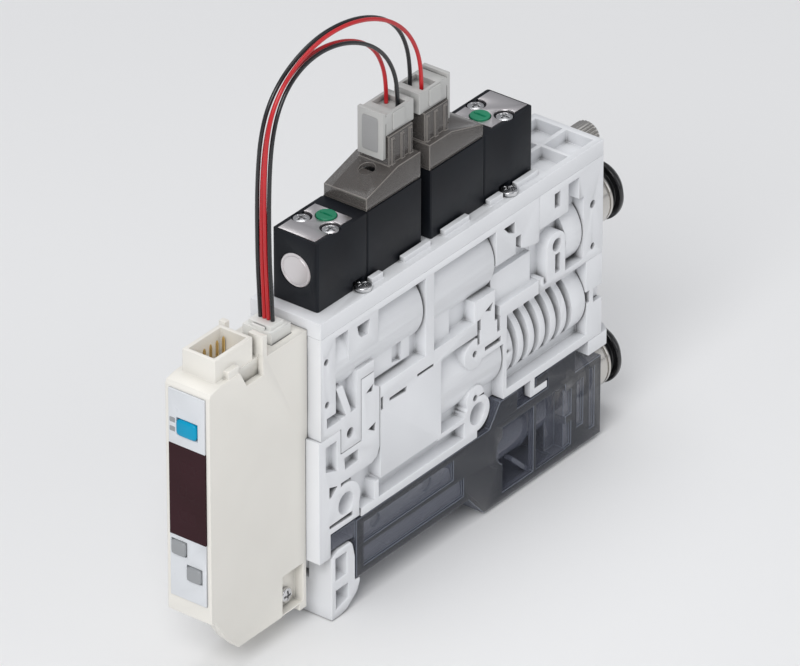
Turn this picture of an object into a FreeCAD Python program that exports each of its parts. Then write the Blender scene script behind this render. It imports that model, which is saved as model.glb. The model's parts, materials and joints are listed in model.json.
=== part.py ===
import FreeCAD, Part
import math
import operator
import os
import Sketcher

# A vacuum generator: a slim moulded ejector body that two pilot valves switch on and off,
# with a pressure switch on one end and the push-in fittings on the other.
# Millimetres. X runs from the switch to the fittings, Z is up, and Y is across the slim width.
# The pieces are drawn from the body's front top edge, and every placement then moves them
# so that the origin is midway between the two mounting holes.

DOC = FreeCAD.newDocument("vacuum_generator")
VECTOR = FreeCAD.Vector

SIZES = [
    # Moulded body
    ("body_long", 82.0, "white body, switch end to fitting end"),
    ("body_width", 15.5, "white body, side to side"),
    ("core_width", 10.6, "wall between the side recesses"),
    ("ledge_width", 12.8, "body over the plates that lie half deep in the recesses"),
    ("band_drop", 4.6, "top face to the lower edge of the top band"),
    ("rail_top", 20.4, "top face to the rail along the middle"),
    ("label_end", 34.4, "end of the bare flat field"),
    ("label_drop", 39.2, "top face to the lower edge of the bare field"),
    ("strip_tall", 1.7, "strip along the underside"),
    ("base_thick", 3.2, "valve base plate"),
    ("air_first", 5.2, "end of the supply valve to its first air hole"),
    ("air_last", 17.4, "end of the release valve back to its first air hole"),
    ("air_pitch", 5.0, "between two air holes"),
    ("air_radius", 0.9, "air hole in the base, the gaskets and the body"),
    ("body_drop", 44.5, "top face to underside"),
    ("tail_drop", 40.2, "top face to underside at the fitting end"),
    ("tail_start", 51.2, "where the underside steps up"),
    ("port_long", 19.0, "port block along the body"),
    ("port_drop", 23.2, "top face to underside of the port block"),
    # Mounting holes
    ("hole_end", 7.0, "switch end to the first mounting hole"),
    ("hole_pitch", 38.0, "between the two mounting holes"),
    ("hole_drop", 39.5, "top face to the mounting holes"),
    ("hole_radius", 2.15, "mounting hole, clearance for a 4 mm screw"),
    ("boss_radius", 4.1, "boss round a mounting hole"),
    # Spool barrels
    ("barrel_drop", 10.95, "top face to the spool axis"),
    ("barrel_radius", 7.7, "outside of a spool barrel"),
    ("supply_barrel_start", 3.8, "supply barrel, first end"),
    ("supply_barrel_end", 29.2, "supply barrel, second end"),
    ("release_barrel_start", 33.0, "release barrel, first end"),
    ("release_barrel_end", 49.9, "release barrel, second end"),
    ("spool_bore", 3.5, "radius of a spool bore"),
    ("spool_gap", 0.05, "spool to bore, on the radius"),
    ("spool_long", 20.0, "a spool, end to end"),
    ("cap_long", 2.4, "plug that closes the supply bore"),
    # Ejector and silencer
    ("ejector_drop", 31.5, "top face to the ejector axis"),
    ("chamber_start", 13.0, "blind end of the ejector chamber"),
    ("chamber_radius", 3.6, "bore of the ejector chamber"),
    ("nozzle_long", 11.0, "nozzle, end to end"),
    ("nozzle_throat", 0.6, "radius of the nozzle's throat"),
    ("diffuser_start", 27.0, "mouth of the diffuser"),
    ("diffuser_long", 24.0, "diffuser, end to end"),
    ("diffuser_throat", 0.95, "radius of the diffuser's throat"),
    ("silencer_start", 53.0, "silencer chamber, inner end"),
    ("silencer_bore", 5.7, "radius of the silencer chamber"),
    ("silencer_wall", 2.05, "wall round the silencer chamber"),
    ("silencer_tube", 3.0, "bore of the porous silencer"),
    ("cap_radius", 6.75, "flange of the silencer cap"),
    ("cap_thick", 1.8, "flange of the silencer cap"),
    ("slot_wide", 1.6, "exhaust slot"),
    ("slot_pitch", 3.2, "between exhaust slots"),
    ("slot_start", 55.4, "first exhaust slot"),
    # Check valve under the ejector
    ("check_at", 25.0, "switch end to the check valve"),
    ("check_radius", 2.6, "check valve disc"),
    ("check_thick", 0.8, "check valve disc"),
    ("check_lift", 0.7, "how far the disc lifts"),
    ("check_seat", 0.6, "lip under the disc"),
    ("suction_bore", 1.7, "radius of the way to the ejector chamber"),
    # Push-in fittings
    ("tube_radius", 3.0, "radius of the tube that plugs in"),
    ("fitting_radius", 5.75, "outside of a fitting's metal body"),
    ("spigot_radius", 4.9, "part of a fitting inside the moulding"),
    ("spigot_long", 12.0, "part of a fitting inside the moulding"),
    ("fitting_out", 6.2, "metal body beyond the end face"),
    ("collar_wide", 6.1, "radius of a release collar's flange"),
    ("collar_nose", 5.2, "radius of a release collar's nose"),
    ("collar_thick", 1.2, "flange of a release collar"),
    ("nose_long", 1.3, "nose of a release collar"),
    ("collar_travel", 1.1, "how far a release collar goes in"),
    ("collar_rest", 1.5, "flange to metal body at rest"),
    ("sleeve_radius", 3.9, "sleeve of a release collar"),
    ("neck_radius", 4.8, "neck of a release collar outside the metal body"),
    ("running_gap", 0.06, "turning and sliding pieces, on the radius"),
    ("supply_drop", 16.6, "top face to the supply fitting"),
    ("vacuum_drop", 50.9, "top face to the vacuum fitting"),
    # Needle valve for the release flow
    ("needle_drop", 6.4, "top face to the needle"),
    ("needle_side", 2.2, "needle to the middle plane"),
    ("thread_radius", 1.5, "needle thread"),
    ("nut_flats", 6.8, "lock nut across flats"),
    ("nut_thick", 2.2, "lock nut"),
    ("knob_radius", 2.9, "knurled knob"),
    ("knob_long", 4.8, "knurled knob"),
    ("knob_out", 8.9, "end face to the knob's outer face"),
    ("needle_in", 9.0, "needle inside the port block"),
    # Filter case
    ("case_start", 9.9, "switch end to the filter case"),
    ("case_wall", 1.2, "wall of the filter case"),
    ("retainer_in", 3.9, "retainer plate inside the body's end"),
    ("retainer_out", 3.0, "retainer plate beyond the body's end"),
    ("retainer_thick", 3.1, "retainer plate"),
    ("case_gap", 0.1, "filter case to the body above it"),
    ("case_slide", 3.6, "how far the case slides to come off"),
    ("rib_tall", 0.8, "ribs on the case floor that carry the element"),
    ("case_deep", 11.9, "underside of the body to the case floor"),
    ("sump_drop", 61.2, "top face to the case floor at the fitting end"),
    ("sump_start", 42.5, "where the case floor steps down"),
    ("element_gap", 0.5, "filter element to the ribs and the body, both together"),
    ("element_long", 27.0, "filter element"),
    ("tab_long", 3.4, "hold of the case's arm on a white hook of the body"),
    ("hook_at", 9.6, "step of the underside to the white hook"),
    ("hook_tall", 3.6, "white hook below the body"),
    # Lock lever
    ("adapter_drop", 23.8, "top face to the switch adapter"),
    ("adapter_proud", 0.6, "adapter beyond the body's end"),
    ("adapter_end", 5.6, "end of the adapter's column"),
    ("foot_end", 10.8, "end of the adapter's foot"),
    ("arm_start", 11.5, "start of the cheeks' upper arms"),
    ("arm_top", 16.5, "top face to the top of these arms"),
    ("arm_long", 3.7, "length of these arms along the body"),
    ("tongue_drop", 28.9, "top face to the foot of the body's tongue"),
    ("cheek_end", 16.7, "end of the adapter's cheeks"),
    ("cheek_drop", 34.9, "top face to the lower edge of the cheeks"),
    ("seam", 0.15, "joint line between the adapter and the body"),
    ("lever_start", 2.9, "switch end to the lever"),
    ("lever_top", 49.0, "top face to the lever's top"),
    ("nose_drop", 5.6, "case floor to the lever's foot"),
    ("pin_at", 5.7, "switch end to the lever pin"),
    ("pin_drop", 52.2, "top face to the lever pin"),
    ("pin_radius", 1.0, "lever pin"),
    ("lug_width", 4.6, "lug that carries the lever"),
    # Pilot valves
    ("valve_start", 2.8, "switch end to the supply valve"),
    ("valve_width", 9.9, "pilot valve, side to side"),
    ("valve_tall", 13.7, "pilot valve above the base"),
    ("front_long", 14.1, "valve end block"),
    ("coil_long", 15.4, "coil case"),
    ("valve_gap", 2.6, "between the two coil cases"),
    ("cover_low", 2.5, "front edge of the cover above the coil"),
    ("cover_tall", 5.1, "flat top of the cover above the coil"),
    ("cover_wall", 0.8, "wall of the cover"),
    ("tower_tall", 5.6, "socket tower on the cover"),
    ("plate_thick", 0.4, "metal plate on the end block"),
    ("button_radius", 1.85, "manual override button"),
    ("button_proud", 0.45, "override button above the end block"),
    ("button_travel", 0.8, "how far an override button goes down"),
    ("disc_radius", 3.35, "metal disc on the end block"),
    ("coil_radius", 4.2, "outside of a winding"),
    ("plunger_radius", 2.3, "plunger"),
    ("plug_long", 7.8, "two-wire plug along the valve"),
    ("plug_width", 5.6, "two-wire plug"),
    ("plug_low", 24.0, "underside of the plug's side band"),
    ("plug_top", 28.6, "top of the two-wire plug"),
    ("screw_radius", 0.8, "shank of the small screws"),
    ("head_radius", 1.6, "head of the small screws"),
    ("plate_screw_side", 3.2, "plate screws to the middle plane"),
    ("plate_screw_drop", 1.0, "top of an end block to the seat of its plate screws"),
    ("head_tall", 1.1, "head of the small screws"),
    ("foot_screw_side", 6.0, "foot screws to the middle plane"),
    # Pressure switch
    ("switch_long", 27.2, "switch housing, front to back"),
    ("switch_width", 9.7, "switch housing, side to side"),
    ("switch_top", 1.9, "body top to the housing's top"),
    ("switch_drop", 48.8, "body top to the housing's underside"),
    ("chin_drop", 57.0, "body top to the chin"),
    ("panel_width", 7.9, "front panel"),
    ("panel_top", 3.6, "body top to the panel's top"),
    ("panel_drop", 45.4, "body top to the panel's foot"),
    ("panel_thick", 0.9, "front panel"),
    ("panel_proud", 0.3, "front panel beyond the housing"),
    ("window_top", 14.5, "body top to the display window"),
    ("window_drop", 32.9, "body top to the window's foot"),
    ("key_travel", 0.35, "how far a switch key goes in"),
    ("key_gap", 0.12, "key to the hole round it"),
    ("wire_plug_at", 5.2, "body end to the four-wire plug"),
    ("wire_radius", 0.38, "radius of a lead"),
]


class Size:
    """A number that remembers how it was worked out from the sheet's cells."""

    def __init__(self, text, value):
        self.text = text
        self.value = float(value)

    def __add__(self, other):
        return join(self, "+", other)

    def __radd__(self, other):
        return join(other, "+", self)

    def __sub__(self, other):
        return join(self, "-", other)

    def __rsub__(self, other):
        return join(other, "-", self)

    def __mul__(self, other):
        return join(self, "*", other)

    def __rmul__(self, other):
        return join(other, "*", self)

    def __truediv__(self, other):
        return join(self, "/", other)

    def __neg__(self):
        return join(0, "-", self)


OPERATIONS = {"+": operator.add, "-": operator.sub, "*": operator.mul, "/": operator.truediv}


def as_size(number):
    """Turn a plain number into a Size, and leave a Size as it is."""
    if isinstance(number, Size):
        return number
    return Size(f"({float(number)!r})", number)


def smaller(left, right):
    """The smaller of two sizes, as a formula too."""
    left, right = as_size(left), as_size(right)
    return Size(f"min({left.text}; {right.text})", min(left.value, right.value))


def join(left, sign, right):
    left, right = as_size(left), as_size(right)
    value = OPERATIONS[sign](left.value, right.value)
    return Size(f"({left.text} {sign} {right.text})", value)


class SizeTable:
    """The sheet's cells by name: L.body_long is the Size of the cell body_long."""

    def __init__(self, rows):
        self.values = {name: value for name, value, note in rows}

    def __getattr__(self, name):
        return Size("sizes." + name, self.values[name])


def make_sheet(rows):
    sheet = DOC.addObject("Spreadsheet::Sheet", "sizes")
    for row, (name, value, note) in enumerate(rows, start=1):
        sheet.set(f"A{row}", name)
        sheet.set(f"B{row}", str(value))
        sheet.setAlias(f"B{row}", name)
        sheet.set(f"C{row}", note)
    DOC.recompute()


make_sheet(SIZES)
L = SizeTable(SIZES)

# Sizes that several pieces share
HALF = L.body_width / 2
CORE = L.core_width / 2
VALVE_HALF = L.valve_width / 2
SPLIT_AT = L.body_long - L.port_long
CASE_DROP = L.body_drop + L.case_deep
SHIFT = (-(L.hole_end + L.hole_pitch / 2), as_size(0), L.hole_drop)
OVER = 0.5
FINISHED = []
HOME = {}


def bind(piece, prop, size):
    """Tie one property of a piece to the sheet."""
    piece.setExpression(prop, as_size(size).text)


def place(piece, x, y, z):
    """Put a piece at a point, and remember the point for its final placement."""
    HOME[piece.Name] = (as_size(x), as_size(y), as_size(z))
    for axis, distance in zip("xyz", HOME[piece.Name]):
        bind(piece, "Placement.Base." + axis, distance)
    return piece


def box(name, x, y, z):
    """A block between two planes along each axis."""
    piece = DOC.addObject("Part::Box", name)
    for prop, span in (("Length", x), ("Width", y), ("Height", z)):
        bind(piece, prop, as_size(span[1]) - span[0])
    return place(piece, x[0], y[0], z[0])


TURNS = {
    "X": FreeCAD.Rotation(VECTOR(0, 1, 0), 90),
    "Y": FreeCAD.Rotation(VECTOR(1, 0, 0), -90),
    "Z": FreeCAD.Rotation(),
}


def rod(name, axis, at, radius, along):
    """A cylinder along one axis; at gives its place on the other two axes, in XYZ order."""
    piece = DOC.addObject("Part::Cylinder", name)
    piece.Placement.Rotation = TURNS[axis]
    bind(piece, "Radius", radius)
    bind(piece, "Height", as_size(along[1]) - along[0])
    point = list(at)
    point.insert("XYZ".index(axis), along[0])
    return place(piece, *point)


def draw_loop(sketch, corners):
    """Add one closed loop of straight lines whose corners are tied to the sheet."""
    points = [(as_size(a), as_size(b)) for a, b in corners]
    count = len(points)
    lines = []
    for (a, b), (c, d) in zip(points, points[1:] + points[:1]):
        lines.append(Part.LineSegment(VECTOR(a.value, b.value, 0), VECTOR(c.value, d.value, 0)))
    lines = sketch.addGeometry(lines, False)
    for index in range(count):
        nearby = lines[(index + 1) % count]
        sketch.addConstraint(Sketcher.Constraint("Coincident", lines[index], 2, nearby, 1))
    for line, (a, b) in zip(lines, points):
        for kind, size in (("DistanceX", a), ("DistanceY", b)):
            rule = sketch.addConstraint(Sketcher.Constraint(kind, -1, 1, line, 1, size.value))
            bind(sketch, f"Constraints[{rule}]", size)


PLANES = {
    "XZ": (FreeCAD.Rotation(VECTOR(1, 0, 0), 90), VECTOR(0, 1, 0)),
    "XY": (FreeCAD.Rotation(), VECTOR(0, 0, 1)),
    "YZ": (FreeCAD.Rotation(VECTOR(1, 1, 1), 120), VECTOR(1, 0, 0)),
}


def prism(name, plane, loops, span):
    """Closed loops drawn in one plane and pushed out along the axis across it."""
    turn, direction = PLANES[plane]
    sketch = DOC.addObject("Sketcher::SketchObject", name + "_outline")
    sketch.Placement.Rotation = turn
    for loop in loops:
        draw_loop(sketch, loop)
    axis = {"XZ": "y", "XY": "z", "YZ": "x"}[plane]
    bind(sketch, "Placement.Base." + axis, span[0])
    piece = DOC.addObject("Part::Extrusion", name)
    piece.Base = sketch
    piece.DirMode = "Custom"
    piece.Dir = direction
    bind(piece, "LengthFwd", as_size(span[1]) - span[0])
    piece.Solid = True
    return piece


def fuse(name, pieces):
    piece = DOC.addObject("Part::MultiFuse", name)
    piece.Shapes = pieces
    piece.Refine = True
    return piece


def cut(name, base, tools):
    """Take tools away from a base."""
    piece = DOC.addObject("Part::Cut", name)
    piece.Base = base
    piece.Tool = tools[0] if len(tools) == 1 else fuse(name + "_tools", tools)
    return piece


def common(name, base, tool):
    piece = DOC.addObject("Part::Common", name)
    piece.Base = base
    piece.Tool = tool
    return piece


def group(name, pieces):
    """Separate solids that share one sub-part."""
    piece = DOC.addObject("Part::Compound", name)
    piece.Links = pieces
    return piece


def mirrored(name, source):
    """A copy on the other side of the middle plane."""
    piece = DOC.addObject("Part::Mirroring", name)
    piece.Source = source
    piece.Normal = VECTOR(0, 1, 0)
    return piece


def both(name, source):
    """A piece and its copy on the other side."""
    return fuse(name, [source, mirrored(name + "_far", source)])


def rounded(name, base, edges, radius):
    """Round numbered edges of a plain block."""
    piece = DOC.addObject("Part::Fillet", name)
    piece.Base = base
    piece.Edges = [(edge, as_size(radius).value, as_size(radius).value) for edge in edges]
    return piece


UPRIGHT = (1, 3, 5, 7)


def finish(label, piece):
    """Name a sub-part and move it so that the origin is midway between the mounting holes."""
    home = HOME.get(piece.Name, (0, 0, 0))
    for axis, distance, shift in zip("xyz", home, SHIFT):
        bind(piece, "Placement.Base." + axis, distance + shift)
    piece.Label = label
    FINISHED.append(piece)
    return piece


FACINGS = {
    "+X": FreeCAD.Rotation(),
    "-X": FreeCAD.Rotation(VECTOR(0, 0, 1), 180),
    "+Z": FreeCAD.Rotation(VECTOR(0, 1, 0), -90),
    "-Z": FreeCAD.Rotation(VECTOR(0, 1, 0), 90),
}


def sketch_in(body, name, plane):
    """An empty sketch on one of the body's own origin planes."""
    sketch = body.newObject("Sketcher::SketchObject", name)
    plane = next(item for item in body.Origin.OriginFeatures if item.Role == plane + "_Plane")
    sketch.AttachmentSupport = [(plane, "")]
    sketch.MapMode = "FlatFace"
    return sketch


def turned(label, outline, at, facing="+X"):
    """A piece turned on a lathe: outline gives (distance along the axis, radius)."""
    body = DOC.addObject("PartDesign::Body", label + "_body")
    sketch = sketch_in(body, label + "_half", "XZ")
    draw_loop(sketch, outline)
    spin = body.newObject("PartDesign::Revolution", label + "_turned")
    spin.Profile = sketch
    spin.ReferenceAxis = (sketch, ["H_Axis"])
    spin.Angle = 360
    body.Placement.Rotation = FACINGS[facing]
    HOME[body.Name] = tuple(as_size(value) for value in at)
    return body


def groove_round(body, label, loop, span, count):
    """Cut one outline into the end of a turned body and repeat it round the axis."""
    sketch = sketch_in(body, label + "_cut", "YZ")
    draw_loop(sketch, loop)
    sketch.AttachmentOffset.Base = VECTOR(0, 0, 0)
    bind(sketch, "AttachmentOffset.Base.z", span[0])
    pocket = body.newObject("PartDesign::Pocket", label + "_groove")
    pocket.Profile = sketch
    pocket.Reversed = True
    bind(pocket, "Length", as_size(span[1]) - span[0])
    pattern = body.newObject("PartDesign::PolarPattern", label + "_round")
    pattern.Originals = [pocket]
    pattern.Axis = (body.Origin.OriginFeatures[0], [""])
    pattern.Angle = 360
    pattern.Occurrences = count
    body.Tip = pattern
    return body


# Valve base plate


FOOT_SCREWS = [(11.4, -1), (53.4, -1), (11.4, 1), (32.4, 1), (53.4, 1)]
RELEASE_END = L.valve_start + 2 * (L.front_long + L.coil_long) + L.valve_gap


def screw_places():
    """Where the foot screws stand: distance along the valves, and which side."""
    return [(L.valve_start + along, side * L.foot_screw_side) for along, side in FOOT_SCREWS]


def gasket_boxes(prefix):
    pieces = []
    inset, reach = 1.5, 26.0
    starts = (L.valve_start + inset, RELEASE_END - inset - reach)
    for index, start in enumerate(starts):
        pieces.append(box(f"{prefix}_{index}", (start, start + reach), (-3.8, 3.8), (-0.6, 0)))
    return pieces


def air_places(valve):
    """Places along the body of the three air holes under one of the valves."""
    start = (L.valve_start, RELEASE_END)[valve] + (L.air_first, -L.air_last)[valve]
    return [start, start + L.air_pitch, start + 2 * L.air_pitch]


def rail_blocks():
    """Two low rails that keep the valves in line, broken at the screws and at two gaps."""
    inner, outer = VALVE_HALF + 0.2, VALVE_HALF + 1.35
    breaks = [(13.6, 16.8), (22.8, 30.4), (34.4, 41.6), (47.6, 51.4)]
    first, last = 55.4, 61.6
    edges = [(a, b) for a, b in breaks] + [(first, last)]
    rails = []
    for index, (start, end) in enumerate(edges):
        span = (L.valve_start + start, L.valve_start + end)
        rails.append(box(f"rail_{index}", span, (-outer, -inner), (-OVER, 1.1)))
    return both("rails", fuse("rails_near", rails))


def valve_base():
    plate = box("base_plate", (0, L.body_long), (-HALF, HALF), (-L.base_thick, 0))
    tools = gasket_boxes("gasket_seat")
    inner, outer, deep = 0.45, 1.4, 2.4
    start, end = RELEASE_END + 1.9, L.body_long - 1.4
    middle = (start + end) / 2
    for side, span in (("near", (-HALF + outer, -inner)), ("far", (inner, HALF - outer))):
        tools.append(box(f"pocket_front_{side}", (start, middle - 0.4), span, (-deep, OVER)))
        tools.append(box(f"pocket_back_{side}", (middle + 0.4, end), span, (-deep, OVER)))
    for index, (x, y) in enumerate(screw_places()):
        tools.append(rod(f"foot_hole_{index}", "Z", (x, y), L.screw_radius + 0.05, (-3.1, OVER)))
    for index, x in enumerate(air_places(0) + air_places(1)):
        tools.append(rod(f"air_hole_{index}", "Z", (x, 0), L.air_radius, (-L.base_thick - OVER, OVER)))
    body = fuse("base_body", [plate, rail_blocks()])
    finish("valve_base", cut("base_cut", body, tools))


def valve_gaskets():
    """Rubber gaskets that fill the seats in the base, pierced for the air holes."""
    pieces = []
    for index, pad in enumerate(gasket_boxes("gasket")):
        holes = []
        for step, x in enumerate(air_places(index)):
            holes.append(rod(f"gasket_hole_{index}_{step}", "Z", (x, 0), L.air_radius, (-1, 1)))
        pieces.append(cut(f"gasket_pad_{index}", pad, holes))
    finish("valve_gaskets", group("gaskets", pieces))


# Ejector body


WINDOW_LOOPS = {
    "top_second": [(10.4, -5.2), (14.0, -5.2), (13.4, -8.0), (11.6, -7.9), (10.8, -7.0)],
    "top_third": [(52.6, -5.1), (55.8, -5.1), (55.8, -7.4), (54.0, -6.6)],
    "top_step": [(56.1, -8.4), (57.7, -8.4), (57.7, -11.2), (56.1, -10.8)],
    "field_slot": [(17.0, -22.8), (17.7, -22.8), (17.7, -25.4), (17.0, -25.4)],
    "field_notch": [(19.5, -24.0), (24.5, -23.9), (24.3, -24.9), (19.5, -24.6)],
    "plate_pocket": [(21.8, -15.2), (24.5, -15.2), (24.5, -19.0), (21.8, -18.4)],
    "rail_line": [(27.5, -23.0), (32.2, -23.0), (32.2, -23.5), (27.5, -23.5)],
    "latch_tri": [(47.2, -19.4), (49.5, -18.5), (48.9, -20.1)],
    "latch_left": [(45.0, -22.5), (45.7, -22.5), (45.7, -25.4), (45.0, -25.4)],
    "latch_right": [(50.8, -22.4), (51.7, -22.4), (51.7, -25.4), (50.8, -25.4)],
    "latch_mark": [(47.2, -26.8), (50.2, -26.8), (51.9, -26.6), (51.9, -27.7), (47.2, -27.6)],
}


def side_pads():
    """Flat pads that stand out to the full width of the body between the recesses."""
    top = -L.base_thick
    rail = (-L.port_drop, -L.rail_top)
    strip = (-L.body_drop, -L.body_drop + L.strip_tall)
    across = (-HALF, HALF)
    latch = L.hole_end + L.hole_pitch
    arm = L.arm_start - L.seam
    pads = [
        box("pad_column", (0, L.supply_barrel_start + 0.4), across, (-L.rail_top + 0.6, top)),
        box("pad_corner", (0, 1.7), across, (-L.adapter_drop, -L.rail_top + 1.0)),
        box("pad_shelf", (0, L.adapter_end + 0.6), across, (-L.adapter_drop, -L.rail_top - 1.4)),
        box("pad_band", (0, SPLIT_AT), across, (-L.band_drop, top)),
        box("pad_shoulder", (7.8, 16.3), across, (-L.barrel_drop, top)),
        box("pad_release", (latch + 5.3, SPLIT_AT - 7), across, (-L.barrel_drop - 0.8, top)),
        box("pad_middle", (L.supply_barrel_end + 0.7, L.release_barrel_start - 0.7), across,
            (-L.rail_top - 1, top)),
        box("pad_tongue", (L.adapter_end + L.seam, arm), across, (-L.tongue_drop + L.seam, -21.6)),
        box("pad_strip", (arm - 1.2, arm), across, (-22.0, -15.0)),
        box("pad_strip_top", (arm - 1.2, arm + L.arm_long), across, (-L.arm_top + L.seam, -14.0)),
        box("pad_rail", (L.cheek_end + L.seam, latch - 0.1), across, rail),
        box("pad_far_rail", (latch + 6.5, SPLIT_AT), across, rail),
        box("pad_field", (L.cheek_end + L.seam, L.label_end), across, (-L.label_drop, rail[0] + 0.5)),
        box("pad_latch", (latch + 0.6, latch + 8.6), across, (-28.7, rail[0] + 0.5)),
        box("pad_latch_neck", (latch + 1.0, latch + 5.0), across, (rail[0], -16.2)),
        box("pad_latch_head", (latch - 0.8, latch + 4.8), across, (-L.rail_top, -16.2)),
        box("pad_rib", (latch + 7.6, latch + 8.6), across, (-L.tail_drop, -28.4)),
        box("pad_wall", (15.2, 16.4), across, (strip[0], -L.label_drop)),
        box("pad_lip", (L.label_end - 1, latch - 3.0), across, (-L.label_drop - 0.4, -38.6)),
        box("pad_foot", (L.foot_end + 0.6, latch), across, strip),
        box("pad_hole", (latch - 3.8, latch), across, (strip[0], -37.8)),
        box("pad_tail_lip", (latch + 7.6, L.body_long), across, (-L.tail_drop, -38.5)),
        box("pad_tail_top", (L.body_long - 4.8, L.body_long), across, (-29.8, -L.port_drop)),
        box("pad_tail", (L.body_long - 4.6, L.body_long), across, (-L.tail_drop, -29.0)),
    ]
    brace = [(4.3, -15.0), (6.1, -15.0), (8.4, -20.8), (8.4, -22.0), (7.3, -22.0)]
    pads.append(prism("pad_brace", "XZ", [brace], across))
    far = [(SPLIT_AT - 7.1, top), (SPLIT_AT, top), (SPLIT_AT, -12.4), (SPLIT_AT - 1, -12.4),
           (SPLIT_AT - 4, -11.8), (SPLIT_AT - 7.1, -10.5)]
    pads.append(prism("pad_far", "XZ", [far], across))
    return pads


def side_ledges():
    """Plates in the recesses that stand out only half as far as the pads."""
    half = L.ledge_width / 2
    across = (-half, half)
    low = -L.rail_top - 0.6
    latch = L.hole_end + L.hole_pitch
    return [
        box("ledge_supply", (L.arm_start + L.arm_long + L.seam, L.supply_barrel_end - 2.3), across,
            (low + 1.7, -L.barrel_drop)),
        box("ledge_middle", (L.release_barrel_start - 1, latch - 6.6), across, (low, -L.barrel_drop)),
        box("ledge_far", (latch + 5.4, SPLIT_AT - 0.9), across, (low, -14.3)),
    ]


def barrels():
    """Round outsides of the two spool bores, of the ejector chamber and of the silencer."""
    side = (0, -L.barrel_drop)
    axis = (0, -L.ejector_drop)
    outer = L.silencer_bore + L.silencer_wall
    tubes = [
        rod("barrel_supply", "X", side, L.barrel_radius,
            (L.supply_barrel_start - 0.2, L.supply_barrel_end)),
        rod("barrel_release", "X", side, L.barrel_radius,
            (L.release_barrel_start - 0.8, L.release_barrel_end)),
        rod("barrel_ejector", "X", axis, outer - 0.1, (L.cheek_end + 1, L.silencer_start - 0.8)),
        rod("barrel_silencer", "X", axis, outer, (L.silencer_start - 0.2, L.body_long - 5.0)),
    ]
    return tubes


def bosses():
    """Cylinders across the body: one round the second mounting hole and two small ones."""
    second = L.hole_end + L.hole_pitch
    across = (-HALF, HALF)
    return [
        rod("boss_second", "Y", (second, -L.hole_drop), L.boss_radius - 0.5, across),
        rod("boss_small", "Y", (second - 0.6, -L.hole_drop + 3.5), 2.5, across),
        rod("boss_disc", "Y", (second - 0.8, -26.8), 3.0, across),
    ]


def body_envelope():
    """The body's outer limits: no pad or barrel reaches past them."""
    lower = [
        (0, -L.base_thick),
        (SPLIT_AT, -L.base_thick),
        (SPLIT_AT, -L.port_drop),
        (L.body_long, -L.port_drop),
        (L.body_long, -L.tail_drop),
        (L.tail_start, -L.tail_drop),
        (L.tail_start - 4.2, -L.body_drop),
        (L.foot_end + 0.6, -L.body_drop),
        (L.foot_end + 0.6, -L.cheek_drop - 0.4),
        (L.adapter_end + L.seam, -L.cheek_drop - 0.4),
        (L.adapter_end + L.seam, -L.adapter_drop),
        (0, -L.adapter_drop),
    ]
    return prism("envelope", "XZ", [lower], (-HALF, HALF))


def body_core():
    """The wall in the middle of the body, which the recesses leave."""
    second = L.hole_end + L.hole_pitch
    core = [
        (0, -L.base_thick),
        (SPLIT_AT, -L.base_thick),
        (SPLIT_AT, -L.port_drop),
        (L.body_long - 4.0, -L.port_drop),
        (L.body_long - 4.0, -L.tail_drop),
        (L.tail_start, -L.tail_drop),
        (second + 2.0, -L.body_drop),
        (5.0, -L.body_drop),
        (5.0, -L.adapter_drop),
        (0, -L.adapter_drop),
    ]
    return prism("core", "XZ", [core], (-CORE, CORE))


def small_holes():
    """Blind core holes of 1.3 mm beside the barrels, bosses and end pads."""
    second = L.hole_end + L.hole_pitch
    places = [(1.6, -8.3), (1.8, -17.0), (second - 0.6, -L.hole_drop + 3.5), (second - 0.8, -26.8)]
    holes = [rod(f"core_hole_{index}", "Y", (x, z), 0.65, (-HALF - OVER, -HALF + 2.2))
             for index, (x, z) in enumerate(places)]
    holes.append(rod("plate_hole", "Y", (8.3, -25.7), 1.0, (-HALF - OVER, -HALF + 2.6)))
    return both("small_holes", fuse("small_holes_near", holes))


def windows():
    """Core pockets of triangles and quadrilaterals, the same on both sides."""
    deep = (-HALF - OVER, -HALF + 2.3)
    near = prism("windows_near", "XZ", list(WINDOW_LOOPS.values()), deep)
    return both("windows", near)


def exhaust_slots():
    """Six slots across each side of the silencer, through to its chamber."""
    slots = []
    for index in range(6):
        start = L.slot_start + index * L.slot_pitch
        slots.append(box(f"slot_{index}", (start, start + L.slot_wide), (-HALF - OVER, -2.4),
                         (-L.ejector_drop - 4.6, -L.ejector_drop + 6.6)))
    ring = rod("slot_keep", "X", (0, -L.ejector_drop), L.silencer_bore - 0.3,
               (L.silencer_start - OVER, L.body_long))
    return cut("slots_cut", both("slots", fuse("slots_near", slots)), [ring])


def end_details():
    """Notch and four small blind holes of the body's fitting end."""
    tools = []
    for side in (-1, 1):
        for drop in (24.9, 38.2):
            tools.append(rod(f"corner_hole_{side}_{drop:.0f}", "X", (side * (HALF - 0.95), -drop), 0.6,
                             (L.body_long - 1.6, L.body_long + OVER)))
    deep = (-HALF - OVER, -CORE)
    near = box("notch", (L.body_long - 2.6, L.body_long + OVER), deep, (-32.6, -29.8))
    slot = box("notch_slot", (L.body_long - 4.8, L.body_long - 3.7), deep, (-32.0, -29.6))
    tools.append(both("notches", fuse("notches_near", [near, slot])))
    return tools


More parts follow.
